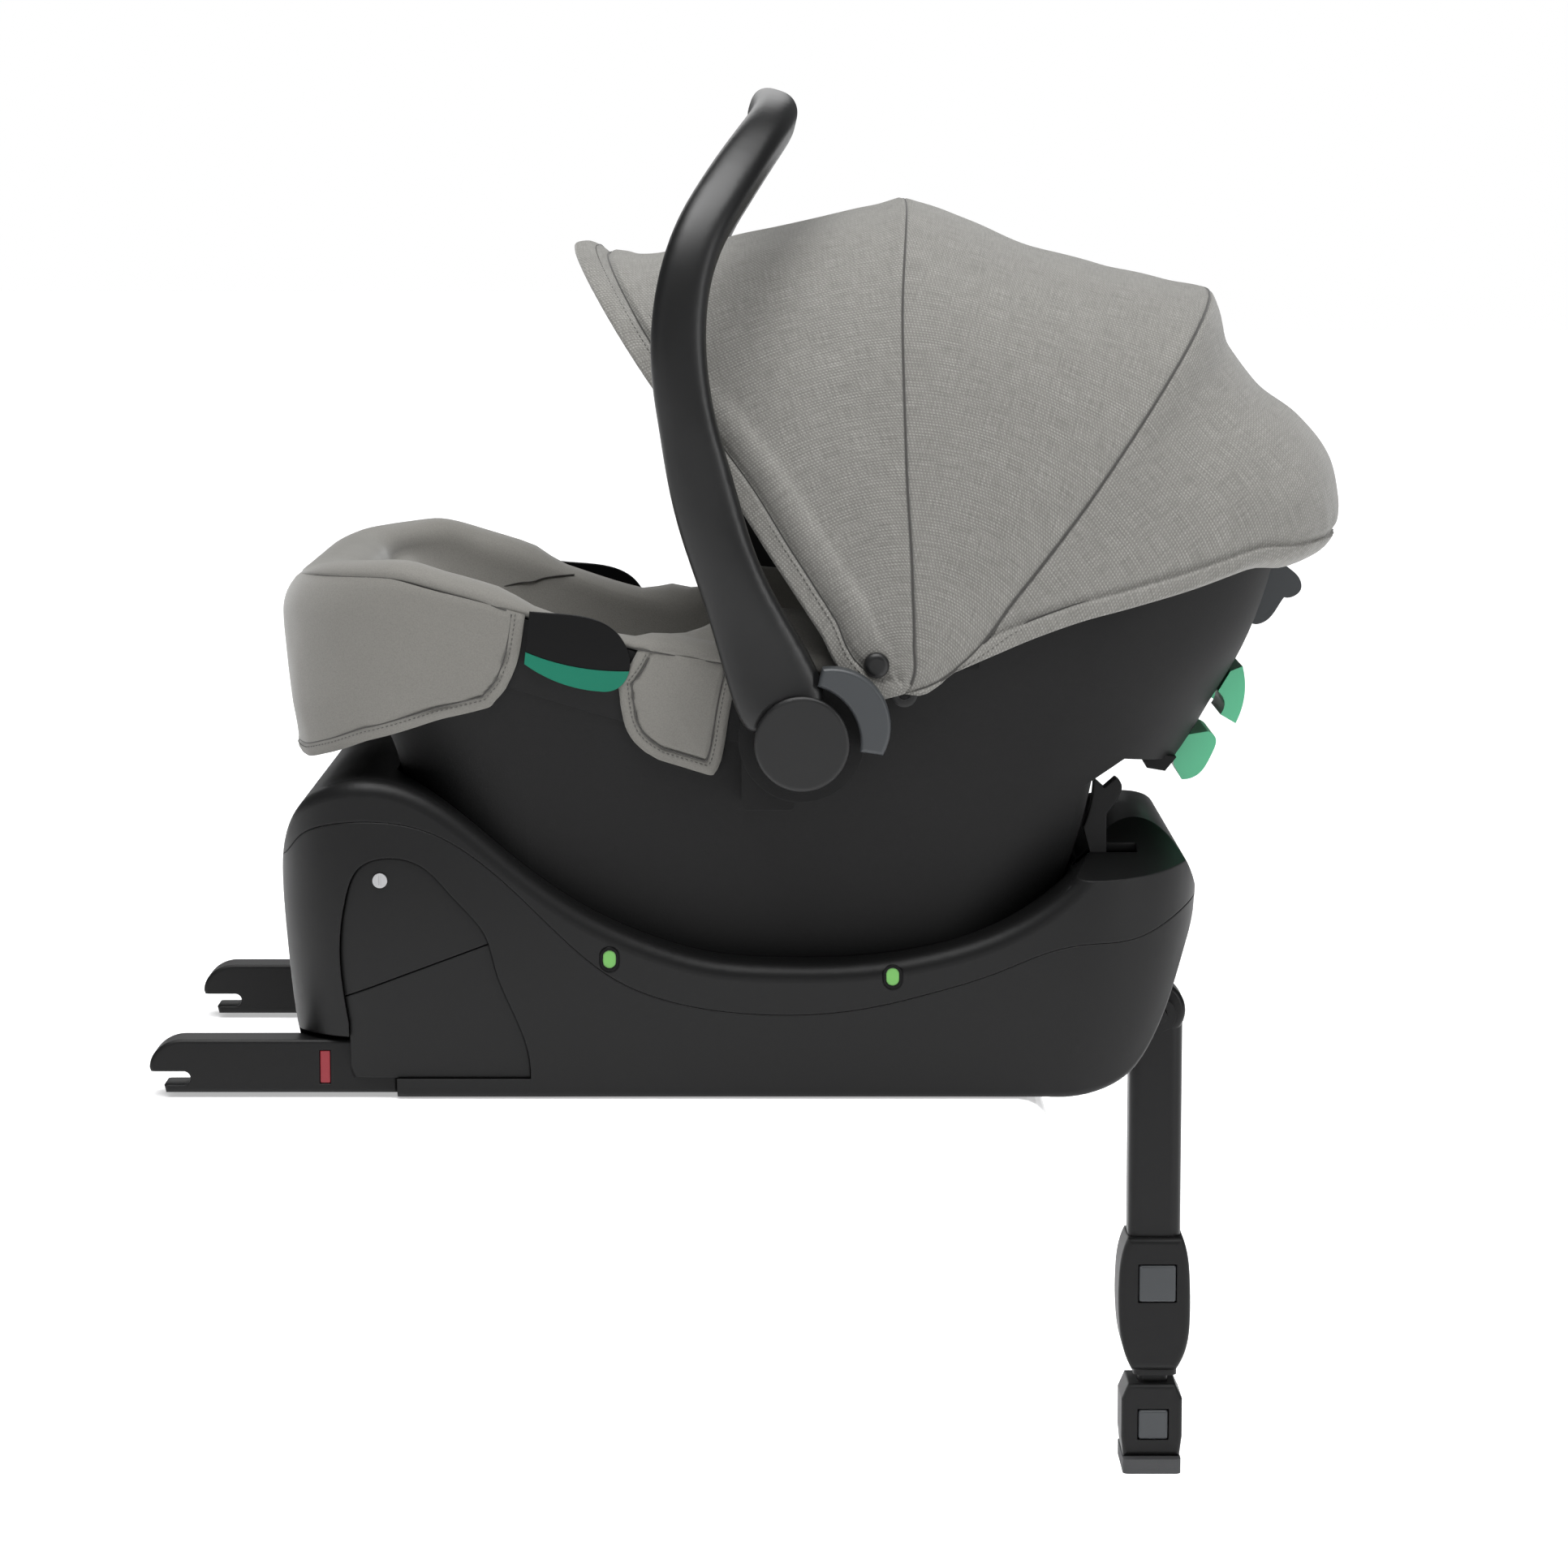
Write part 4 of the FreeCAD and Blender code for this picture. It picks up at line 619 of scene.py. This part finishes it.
def cordAlong(name, path, radius, sides=8):
    # a thin round cord through points, made a mesh
    pickNone()
    curve = bpy.data.curves.new(name, "CURVE")
    curve.dimensions = "3D"
    line = curve.splines.new("POLY")
    line.points.add(len(path) - 1)
    for point, spot in zip(line.points, path):
        point.co = (*spot, 1)
    curve.bevel_depth = radius
    curve.bevel_resolution = sides // 4
    curve.use_fill_caps = True
    obj = bpy.data.objects.new(name, curve)
    bpy.context.scene.collection.objects.link(obj)
    pickOnly(obj)
    bpy.ops.object.convert(target="MESH")
    obj = bpy.context.object
    smoothAll(obj)
    return obj


def stitchRun(name, path, pitch=3.4 * mm, length=2.3 * mm, thick=0.42 * mm):
    # one stitch, repeated along a path by array and curve modifiers
    pickNone()
    curve = bpy.data.curves.new(name + "Path", "CURVE")
    curve.dimensions = "3D"
    line = curve.splines.new("POLY")
    line.points.add(len(path) - 1)
    for point, spot in zip(line.points, path):
        point.co = (*spot, 1)
    rail = bpy.data.objects.new(name + "Path", curve)
    bpy.context.scene.collection.objects.link(rail)
    bpy.ops.mesh.primitive_uv_sphere_add(segments=6, ring_count=4, radius=1)
    stitch = bpy.context.object
    stitch.name = name
    stitch.rotation_euler = (0, math.pi / 2, 0)
    bpy.ops.object.transform_apply(rotation=True)
    stitch.scale = (length / 2, thick, thick)
    bpy.ops.object.transform_apply(scale=True)
    total = sum((b - a).length for a, b in zip(path, path[1:]))
    addModifier(stitch, "ARRAY", fit_type="FIXED_COUNT", count=max(int(total / pitch), 1),
                use_relative_offset=False, use_constant_offset=True,
                constant_offset_displace=(pitch, 0, 0))
    addModifier(stitch, "CURVE", object=rail, deform_axis="POS_X")
    bpy.data.objects.remove(rail)
    smoothAll(stitch)
    paint(stitch, threadGrey)
    return stitch


def goreLine(part, share=None, distance=None, fromFront=True, lift=0, start=0.03, count=160):
    spots = []
    for n in range(count + 1):
        phi = math.pi * (start + (1 - 2 * start) * n / count)
        spots.append(goreSpot(gores[part], phi, share or 0, distance, fromFront, lift)[0])
    return spots


# dark cords laid along the gore seams: painted shade in the seam gaps
seamLines = {
    "canopyMidSeamShade": ("mid", 0.0, "canopy_mid", -0.9 * mm, 0.8 * mm),
    "canopyRearSeamShade": ("rear", 0.0, "carrier", -0.9 * mm, 0.8 * mm),
}
# painted seam shade: the dark colour of the cords laid in the seams, hem folds and cover grooves
paintedSeamShade = knit("seamShadow", (0.045, 0.043, 0.040), (0.075, 0.073, 0.068), stitch=0.5 * mm)
for name, (part, share, body, lift, radius) in seamLines.items():
    seam = cordAlong(name, goreLine(part, share=share, lift=lift, start=0.012), radius)
    paint(seam, paintedSeamShade)
    seat(seam, body, "canopy_grey")

hems = {
    "canopyRim": ("front", canopy["rimWidth"], True, "canopy_front", 0.035),
    "canopyHem": ("rear", canopy["hemWidth"], False, "carrier", 0.06),
}
for name, (part, width, fromFront, body, start) in hems.items():
    # a dark cord laid in the hem's sewn groove: painted shade
    foldShade = cordAlong(name + "FoldShade", goreLine(part, distance=width + 0.1 * mm, fromFront=fromFront,
                                             lift=-1.3 * mm, start=start), 0.55 * mm)
    paint(foldShade, paintedSeamShade)
    seat(foldShade, body, "canopy_grey")
    run = stitchRun(name + "Stitches", goreLine(part, distance=width - 3.0 * mm, lift=1.25 * mm,
                                                fromFront=fromFront, start=start))
    seat(run, body, "canopy_grey")
print("canopy seams and stitches done")


# seat cover: a padded bowl with a thick rolled edge, a front skirt and two side flaps

shellPlan = [
    # height, toe, head, half width, toe corner radius, head corner radius, in millimetres
    (60, -180, 205, 136, 70, 80), (140, -197, 236, 150, 74, 86), (205, -207, 280, 165, 78, 92),
    (235, -222, 296, 171, 80, 94), (262, -247, 312, 177, 84, 96), (310, -257, 334, 184, 88, 98),
    (372, -262, 356, 190, 90, 100),
]
shellRim = [(-290, 300), (-262, 314), (-243, 319), (-206, 320), (-167, 311), (-120, 297),
            (-60, 279), (0, 268), (60, 262), (112, 268), (170, 288), (240, 312), (338, 346)]
cabinFloor = [(-236, 326), (-200, 292), (-160, 246), (-110, 196), (-60, 160), (-10, 142),
              (40, 138), (90, 150), (150, 186), (210, 232), (270, 284), (330, 346)]


def planAt(z):
    # toe, head, half width and corner radii of the shell at a height
    z = min(max(z, shellPlan[0][0]), shellPlan[-1][0])
    n = 0
    while shellPlan[n + 1][0] < z:
        n += 1
    low, high = shellPlan[n], shellPlan[n + 1]
    t = (z - low[0]) / (high[0] - low[0])
    return [a + (b - a) * t for a, b in zip(low[1:], high[1:])]


def roundPlan(p, z, out=0.0):
    # a place on the shell's outline: p runs 0..8 from the head's near corner round the toe
    toe, head, half, front, rear = planAt(z)
    p = p % 8
    part, t = int(p), p - int(p)
    a = math.pi / 2 * t
    if part == 0:
        x, y, nx, ny = head - rear + (toe + front - head + rear) * t, -half, 0, -1
    elif part == 1:
        nx, ny = -math.sin(a), -math.cos(a)
        x, y = toe + front + front * nx, -half + front + front * ny
    elif part == 2:
        x, y, nx, ny = toe, (front - half) + (half - front) * 2 * t, -1, 0
    elif part == 3:
        nx, ny = -math.cos(a), math.sin(a)
        x, y = toe + front + front * nx, half - front + front * ny
    elif part == 4:
        x, y, nx, ny = toe + front + (head - rear - toe - front) * t, half, 0, 1
    elif part == 5:
        nx, ny = math.sin(a), math.cos(a)
        x, y = head - rear + rear * nx, half - rear + rear * ny
    elif part == 6:
        x, y, nx, ny = head, (half - rear) * (1 - 2 * t), 1, 0
    else:
        nx, ny = math.cos(a), -math.sin(a)
        x, y = head - rear + rear * nx, -half + rear + rear * ny
    return x + nx * out, y + ny * out, nx, ny


cover = {
    # inward distance from the shell and height over its rim, round the rolled edge
    "roll": [(3.4, 0.2), (1.6, 0.6), (0.3, 2.0), (-0.2, 4.2), (0.5, 7.0), (2.6, 9.8), (6.2, 11.9),
             (10.5, 12.9), (15.5, 12.7), (20.5, 11.2), (25.0, 8.0), (28.2, 3.4), (30.0, -2.5),
             (31.0, -9.0)],
    "wallInset": 32.0,
    "around": 220,
    "skirtOut": 6.6,
    "noseOut": 12.5,
    "noseRound": 12.5,
    "nosePlan": 300.0,
    "skirtLow": [(-292, 216), (-272, 210), (-258, 208), (-247, 211.5), (-224, 221.5), (-200, 230),
                 (-180, 235.6), (-163, 238.8), (-152, 241.2), (-146, 243.6), (-140.4, 247.8),
                 (-135, 253.8), (-131.8, 259.4), (-130.6, 262.4)],
    "skirtEnd": [(250, -136), (262.4, -130.6), (270, -127.6), (278, -125.6), (288, -124),
                 (303, -122), (330, -120)],
    "flapOut": 6.4,
    "border": 8.0,
    "thick": 2.6,
}


def noseShare(nx):
    return max(-nx, 0) ** 1.6


def rollOut(x, nx):
    # how far the rolled edge stands out from the shell, all round
    side = cover["skirtOut"]
    wingRoom = softRamp(-134, -122, x) * (1 - softRamp(-62, -52, x))
    underHood = softRamp(4, 44, x)
    side = side - wingRoom * (side - 1.2) - underHood * (side + 3.0)
    return side + (cover["noseOut"] - cover["noseRound"]) * noseShare(nx)


def rimAt(x):
    return alongCurve(shellRim, x)


def bowlSpot(p, row):
    # rows 0..1 go round the roll, 1..2 down the wall and in to the middle line
    zRim = 300.0
    x, y, nx, ny = roundPlan(p, zRim)
    rim = rimAt(x)
    for n in range(2):
        x, y, nx, ny = roundPlan(p, rim)
        rim = rimAt(x)
    wingDip = softRamp(-140, -112, x) * (1 - softRamp(-62, -40, x))
    lift = 1 - 0.35 * noseShare(nx) - 0.55 * wingDip
    bolster = 30 * softRamp(-45, 18, x) * (1 - softRamp(120, 185, x))
    profile = cover["roll"]
    if row <= 1:
        k = row * (len(profile) - 1)
        n = min(int(k), len(profile) - 2)
        t = k - n
        d = profile[n][0] + (profile[n + 1][0] - profile[n][0]) * t
        h = profile[n][1] + (profile[n + 1][1] - profile[n][1]) * t
        stretch = rollOut(x, nx)
        d = d - stretch * max(0.0, 1 - max(d, 0) / 30)
        px, py, nx, ny = roundPlan(p, rim, -d)
        high = rim + h * (lift if h > 0 else 1) + bolster * softRamp(9, 27, d)
        return Vector((px, py, high)) * mm
    k = row - 1
    wx, wy, nx, ny = roundPlan(p, rim, -cover["wallInset"])
    top = rim + profile[-1][1] - 2.0 + bolster
    toe, head = planAt(rim)[0], planAt(rim)[1]
    sx = min(max(wx, toe + 104), head - 112)
    inward = 1 - (1 - k) ** 1.25
    f = 1 - inward
    x, y = sx + (wx - sx) * f, wy * f
    low = alongCurve(cabinFloor, x)
    # steep walls on a rounded corner
    climb = 1 - (1 - f ** 4.6) ** (1 / 3.4)
    z = low + max(top - low, 0) * climb
    if top < low:
        z = top + (low - top) * (1 - f ** 3)
    return Vector((x, y, z)) * mm


pRuns = [(0, 0), (1, 24), (2, 40), (3, 58), (4, 74), (5, 98), (6, 112), (7, 122), (8, 136)]


def evenP(u):
    # the outline's own parameter, spaced by length
    k = u * pRuns[-1][1]
    n = 0
    while n < len(pRuns) - 2 and pRuns[n + 1][1] < k:
        n += 1
    (p0, a), (p1, b) = pRuns[n], pRuns[n + 1]
    return p0 + (p1 - p0) * (k - a) / (b - a)


def bowlPlace(u, v):
    rollRows = 0.44
    p = evenP(u)
    row = v / rollRows if v < rollRows else 1 + (v - rollRows) / (1 - rollRows)
    spot = bowlSpot(p, row)
    soft = softRamp(0.15, 0.9, row) * (1 - 0.3 * softRamp(1.2, 2.0, row))
    spot = spot + Vector((0, 0, soft * ripple(spot, 0.055, 1.6 * mm, 7)))
    spot.z += soft * ripple(spot, 0.021, 0.5 * mm, 9)
    return spot


def joinEnds(obj, distance=0.2 * mm, seen=(0, 0, 1)):
    # merge a grid's meeting ends and turn its normals to the side that is seen
    pickOnly(obj)
    bpy.ops.object.mode_set(mode="EDIT")
    bpy.ops.mesh.select_all(action="SELECT")
    bpy.ops.mesh.remove_doubles(threshold=distance)
    bpy.ops.mesh.normals_make_consistent(inside=False)
    bpy.ops.object.mode_set(mode="OBJECT")
    total = sum((f.normal.dot(Vector(seen)) * f.area for f in obj.data.polygons), 0.0)
    if total < 0:
        obj.data.flip_normals()


coverBowl = gridPiece("coverBowl", cover["around"], 46, bowlPlace)
joinEnds(coverBowl)
smoothAll(coverBowl)
paint(coverBowl, finishes["cover_grey"])
seat(coverBowl, "carrier", "cover_grey", "seat_cover")
print("seat cover bowl and rolled edge done")


def paddedEdge(d):
    # outward height of a padded panel, d millimetres in from its sewn border
    roundOff = -2.6 * (1 - math.sqrt(max(1 - (1 - min(d / 3.2, 1)) ** 2, 0)))
    groove = -1.9 * math.exp(-((d - cover["border"]) / 1.0) ** 2)
    crown = 1.8 * softRamp(cover["border"] + 1, 34, d)
    return roundOff + groove + crown


def skirtFrame(u):
    # outline parameter at the skirt's place u, before its slanted ends
    lengths = [(0, 0), (1, 46), (2, 178), (3, 368), (4, 500), (5, 546)]
    k = u * 546
    n = 0
    while n < 4 and lengths[n + 1][1] < k:
        n += 1
    (a, la), (b, lb) = lengths[n], lengths[n + 1]
    return a + (b - a) * (k - la) / (lb - la)


def skirtSpot(u, v, out=0.0, dropEdge=None):
    run = skirtFrame(u)
    # height first, from the outline at mid height
    toe, head, half, front, rear = planAt(285)
    endX = alongCurve(cover["skirtEnd"], 262.4 + 38 * v)
    share = (head - rear - endX) / (head - rear - toe - front)
    p = share + run * (1 - share) if run < 1 else run
    p = p if run <= 4 else 4 + (run - 4) * (1 - share)
    x, y, nx, ny = roundPlan(p, 285)
    nose = noseShare(nx)
    end = max(1 - run, run - 4, 0)
    edgeX = x
    follow = 1 - softRamp(0, 0.5, min(run - 1, 4 - run))
    for n in range(3 if follow else 1):
        zLow = alongCurve(cover["skirtLow"], edgeX - cover["noseOut"] * nose)
        zTop = rimAt(x) + 2.2
        z = zLow + (zTop - zLow) * v if dropEdge is None else zLow + dropEdge
        zPlan = z + (cover["nosePlan"] - z) * min(nose * 1.15, 1)
        stand = cover["skirtOut"] + (cover["noseOut"] - 6.5 * (1 - softRamp(212, 296, z))) * nose
        stand -= cover["noseRound"] * nose * max(0.0, 1 - (zTop - z) / 26) ** 2.2
        px, py, nx, ny = roundPlan(p, zPlan, stand + out)
        px += (x - px) * softRamp(0, 1, end)
        edgeX = x + (px - x) * follow
    return Vector((px, py, z)), zTop


def edgeTree(spots):
    tree = kdtree.KDTree(len(spots))
    for n, spot in enumerate(spots):
        tree.insert(spot, n)
    tree.balance()
    return lambda spot: tree.find(spot)[2]


skirtEdge = edgeTree([skirtSpot(n / 1500, 0)[0] for n in range(1501)]
                     + [skirtSpot(end, n / 300)[0] for end in (0, 1) for n in range(301)])


def skirtPlace(u, v):
    v = rowSpacing(v, (0.24, 0.15), (0.12, 0.06))
    u = rowSpacing(u, (0.07, 0.035), (0.07, 0.035))
    spot, zTop = skirtSpot(u, v)
    d = skirtEdge(spot)
    height = paddedEdge(d)
    height -= 1.5 * softRamp(4, 0, zTop - spot.z)
    soft = softRamp(8, 30, d)
    height += soft * (ripple(spot * mm, 0.060, 1.5, 4) + ripple(spot * mm, 0.022, 0.45, 5))
    spot, zTop = skirtSpot(u, v, out=height)
    return spot * mm


coverSkirt = gridPiece("coverSkirt", 200, 54, skirtPlace)
joinEnds(coverSkirt, 0.02 * mm, seen=(0, 0, 0.01))
front = min(coverSkirt.data.polygons, key=lambda f: f.center.x + abs(f.center.y))
if front.normal.x > 0:
    coverSkirt.data.flip_normals()
addModifier(coverSkirt, "SOLIDIFY", thickness=cover["thick"] * mm, offset=-1)
smoothAll(coverSkirt, 60)
paint(coverSkirt, finishes["cover_grey"])
seat(coverSkirt, "carrier", "cover_grey")
print("cover skirt done")


flapShape = {
    "left": [(200, -34), (207, -52), (213, -59), (220, -63.5), (228, -65.6), (239, -66.8),
             (251, -66), (260, -64), (270, -59.5), (284, -54)],
    "right": [(200, -10), (205, -5.5), (211, -3.2), (225, -0.5), (241, 2.6), (262, 6), (284, 8)],
    "low": [(-66.9, 239), (-65.6, 228), (-63.4, 220.6), (-60.0, 216.4), (-54, 214.2),
            (-42.4, 210.1), (-28, 205.6), (-18, 202.4), (-11, 200.6), (-7.1, 202.4), (-4.0, 209),
            (-1, 220), (8, 262)],
}


def flapSpot(u, v):
    # a sheet between the two sides of the outline, closed by its foot
    left = alongCurve(flapShape["left"], 204 + 80 * v)
    right = alongCurve(flapShape["right"], 200.5 + 80 * v)
    x = left + (right - left) * u
    low = alongCurve(flapShape["low"], x)
    top = rimAt(x) + 2.2
    return Vector((x, 0, low + (top - low) * v)), top


edgeSteps = 200
flapOutline = ([flapSpot(0, 1 - n / edgeSteps)[0] for n in range(edgeSteps)]
               + [flapSpot(n / edgeSteps, 0)[0] for n in range(edgeSteps)]
               + [flapSpot(1, n / edgeSteps)[0] for n in range(edgeSteps + 1)])
flapEdge = edgeTree(flapOutline)


def flapPlace(side):
    def place(u, v):
        u = rowSpacing(u, (0.20, 0.12), (0.20, 0.12))
        v = rowSpacing(v, (0.30, 0.16), (0.06, 0.03))
        spot, top = flapSpot(u, v)
        d = flapEdge(spot)
        height = paddedEdge(d) - 1.5 * (1 - softRamp(0, 4, top - spot.z))
        half = planAt(spot.z)[2]
        height += softRamp(8, 24, d) * ripple(Vector((spot.x, -half, spot.z)) * mm, 0.030, 0.8, 6)
        return Vector((spot.x, side * (half + cover["flapOut"] + height), spot.z)) * mm
    return place


for side, word in ((-1, "Left"), (1, "Right")):
    flap = gridPiece("coverFlap" + word, 56, 60, flapPlace(side))
    joinEnds(flap, 0.02 * mm, seen=(0, side, 0))
    addModifier(flap, "SOLIDIFY", thickness=cover["thick"] * mm, offset=-1)
    smoothAll(flap, 60)
    paint(flap, finishes["cover_grey"])
    seat(flap, "carrier", "cover_grey")
print("cover flaps done")


# seams on the cover

def smoothed(path, passes):
    for n in range(passes):
        path = ([path[0]] + [(a + b * 2 + c) / 4 for a, b, c in zip(path, path[1:], path[2:])]
                + [path[-1]])
    return path


def coverLine(name, spots, body="carrier", radius=0.5 * mm, stitches=None):
    # a dark cord painted as the shade in a sewn groove, and a row of stitches beside it
    foldShade = cordAlong(name, spots, radius)
    paint(foldShade, paintedSeamShade)
    seat(foldShade, body, "cover_grey")
    if stitches:
        run = stitchRun(name + "Stitches", stitches, pitch=3.0 * mm, length=2.0 * mm,
                        thick=0.36 * mm)
        seat(run, body, "cover_grey")


def atInset(inset, spotAt, far):
    # the parameter 0..far at which a place lies inset from the sewn edge
    near = 0
    for n in range(18):
        middle = (near + far) / 2
        if skirtEdge(spotAt(middle)) < inset:
            near = middle
        else:
            far = middle
    return far if abs(skirtEdge(spotAt(far)) - inset) < 0.25 else None


def skirtBorder(inset, out):
    # down one end of the skirt, round its foot and up the other end, at an even inset
    foot = []
    for n in range(221):
        u = n / 220
        drop = atInset(inset, lambda h: skirtSpot(u, 0, dropEdge=h)[0], 30)
        if drop is not None:
            foot.append(skirtSpot(u, 0, out, dropEdge=drop)[0])
    left = []
    for n in range(30):
        v = 0.95 - n * 0.03
        u = atInset(inset, lambda k: skirtSpot(k, v)[0], 0.06)
        if u is not None:
            left.append(skirtSpot(u, v, out)[0])
    left = [spot for spot in left if spot.z > foot[0].z + 0.8]
    right = [Vector((spot.x, -spot.y, spot.z)) for spot in reversed(left)]
    return [spot * mm for spot in left + foot + right]


coverLine("skirtFoldShade", skirtBorder(cover["border"], -0.45),
          stitches=skirtBorder(cover["border"] - 2.4, 0.15))


def rollLine(row, first, last, out=0.0, count=170, rise=0.0):
    # a line round the rolled edge at one row, from one outline place to another
    path = []
    for n in range(count + 1):
        spot = bowlSpot(first + (last - first) * n / count, row)
        path.append(spot + Vector((0, 0, rise)))
    return path


coverLine("rollFoldShade", rollLine(1.6 / 13, 0.55, 4.45, rise=0.2 * mm), radius=0.7 * mm)
def wallSpot(p, height):
    # a place on the far inner wall at a height in millimetres
    high, low = 0.7, 1.2
    for n in range(20):
        middle = (high + low) / 2
        if bowlSpot(p, middle).z > height * mm:
            high = middle
        else:
            low = middle
    return bowlSpot(p, low)


for side, word in ((-1, "Left"), (1, "Right")):
    innerSeamShade = []
    for n in range(41):
        k = n / 40
        spot = wallSpot(4.15 - 0.13 * k, 295 - 9.5 * k ** 1.7)
        innerSeamShade.append(Vector((spot.x, side * (abs(spot.y) - 0.5 * mm), spot.z + 0.5 * mm)))
    innerSeamShade = smoothed(innerSeamShade, 14)
    coverLine("innerSeamShade" + word, innerSeamShade, radius=0.55 * mm)


def flapBorder(side, inset, out):
    path = []
    for n in range(8, len(flapOutline) - 8):
        along = flapOutline[n + 3] - flapOutline[n - 3]
        spot = flapOutline[n] + Vector((-along.z, 0, along.x)).normalized() * inset
        if flapEdge(spot) > inset * 0.975 and flapOutline[n].z < 279:
            path.append(spot)
    path = smoothed(path, 60)
    return [Vector((p.x, side * (planAt(p.z)[2] + cover["flapOut"] + out), p.z)) * mm for p in path]


for side, word in ((-1, "Left"), (1, "Right")):
    coverLine("flapFoldShade" + word, flapBorder(side, cover["border"], -0.45),
              stitches=flapBorder(side, cover["border"] - 2.4, 0.2))
print("cover seams and stitches done")


# pads: filled forms puffed out like stuffed cloth

def plump(name, node, body, voxel, puff, cap, channels=(), slotName="cover_grey"):
    # a stuffed copy of a CAD pad: even skin, pressed out by its filling, sewn channels pulled in
    source = cadNodes[node]
    pickNone()
    obj = bpy.data.objects.new(name, source.data.copy())
    bpy.context.scene.collection.objects.link(obj)
    pickOnly(obj)
    bpy.ops.mesh.customdata_custom_splitnormals_clear()
    bpy.ops.object.mode_set(mode="EDIT")
    bpy.ops.mesh.select_all(action="SELECT")
    bpy.ops.mesh.remove_doubles(threshold=0.02 * mm)
    bpy.ops.object.mode_set(mode="OBJECT")
    addModifier(obj, "REMESH", mode="VOXEL", voxel_size=voxel)
    start = [v.co.copy() for v in obj.data.vertices]
    mod = obj.modifiers.new("filling", "CLOTH")
    mod.settings.quality = 5
    mod.settings.mass = 0.3
    mod.settings.use_pressure = True
    mod.settings.uniform_pressure_force = puff
    mod.settings.effector_weights.gravity = 0
    for n in range(1, 21):
        bpy.context.scene.frame_set(n)
    applyModifier(obj, mod.name)
    bpy.context.scene.frame_set(1)
    for v, was in zip(obj.data.vertices, start):
        moved = v.co - was
        if moved.length > cap:
            v.co = was + moved * (cap / moved.length)
    obj.data.update()
    normals = [v.normal.copy() for v in obj.data.vertices]
    for v, normal in zip(obj.data.vertices, normals):
        pull = sum(depth * math.exp(-((v.co.dot(Vector(along)) - at) / width) ** 2)
                   for along, at, width, depth in channels)
        soft = ripple(v.co, 0.030, 0.5 * mm, 8)
        v.co += normal * (soft - pull)
    addModifier(obj, "SUBSURF", levels=1, render_levels=1)
    smoothAll(obj)
    paint(obj, finishes[slotName])
    seat(obj, body, slotName, node)
    return obj


lean = math.radians(41.5)
backAxis = (math.cos(math.pi / 2 - lean), 0, math.sin(math.pi / 2 - lean))
backStart = Vector(backAxis).dot(Vector((0.176, 0, 0.206)))
plump("seatPadStuffed", "seat_pad", "carrier", 5.5 * mm, 4, 5 * mm,
      channels=[((1, 0, 0), x * mm, 4 * mm, 2.2 * mm) for x in (-120, -30, 58, 104)])
plump("headrestStuffed", "headrest", "headrest", 5.5 * mm, 4, 6 * mm,
      channels=[(backAxis, backStart + at * mm, 4 * mm, 2.4 * mm) for at in (40, 78)]
      + [((0, 1, 0), side * 58 * mm, 4 * mm, 2.0 * mm) for side in (-1, 1)])
plump("shoulderPadsStuffed", "shoulder_pad", "carrier", 3.0 * mm, 4, 2.5 * mm,
      channels=[((1, 0, 0), x * mm, 2.5 * mm, 1.2 * mm) for x in (72, 100)])
print("pads stuffed")


# straps: woven webbing with soft selvedges

def webbingCopy(name, node, body):
    source = cadNodes[node]
    pickNone()
    obj = bpy.data.objects.new(name, source.data.copy())
    bpy.context.scene.collection.objects.link(obj)
    pickOnly(obj)
    bpy.ops.mesh.customdata_custom_splitnormals_clear()
    bpy.ops.object.mode_set(mode="EDIT")
    bpy.ops.mesh.select_all(action="SELECT")
    bpy.ops.mesh.remove_doubles(threshold=0.02 * mm)
    bpy.ops.mesh.dissolve_limited(angle_limit=math.radians(1))
    bpy.ops.object.mode_set(mode="OBJECT")
    addModifier(obj, "BEVEL", width=0.6 * mm, segments=2, limit_method="ANGLE",
                angle_limit=math.radians(50))
    smoothAll(obj, 40)
    paint(obj, finishes["webbing"])
    seat(obj, body, "webbing", node)
    return obj


webbingCopy("harnessWebbing", "harness_strap", "carrier")
webbingCopy("crotchWebbing", "crotch_strap", "carrier")
print("straps done")


# floor: a pale bench that the base stands on, and a lower floor beside the leg

stageSizes = {"benchEdge": 0.196, "benchFront": -0.30, "low": -0.526}
bpy.ops.mesh.primitive_plane_add(size=60, location=(0, 0, stageSizes["low"]))
floor = bpy.context.object
floor.name = "studioFloor"
bpy.ops.mesh.primitive_cube_add(size=1)
bench = bpy.context.object
bench.name = "studioBench"
bench.scale = (20, 20, -stageSizes["low"] - 0.0008)
bench.location = (stageSizes["benchEdge"] - 10, stageSizes["benchFront"] + 10,
                  stageSizes["low"] / 2 - 0.0004)
bpy.ops.object.transform_apply(location=True, rotation=True, scale=True)
addModifier(bench, "BEVEL", width=0.02, segments=5)
pale, _, paleShader = startMaterial("paleFloor", (0.90, 0.90, 0.905), 0.8)
paleShader.inputs["Emission Color"].default_value = (1, 1, 1, 1)
paleShader.inputs["Emission Strength"].default_value = 0.42
paleShader.inputs["Specular IOR Level"].default_value = 0.1
for part in (floor, bench):
    paint(part, pale)
print("floor ready")
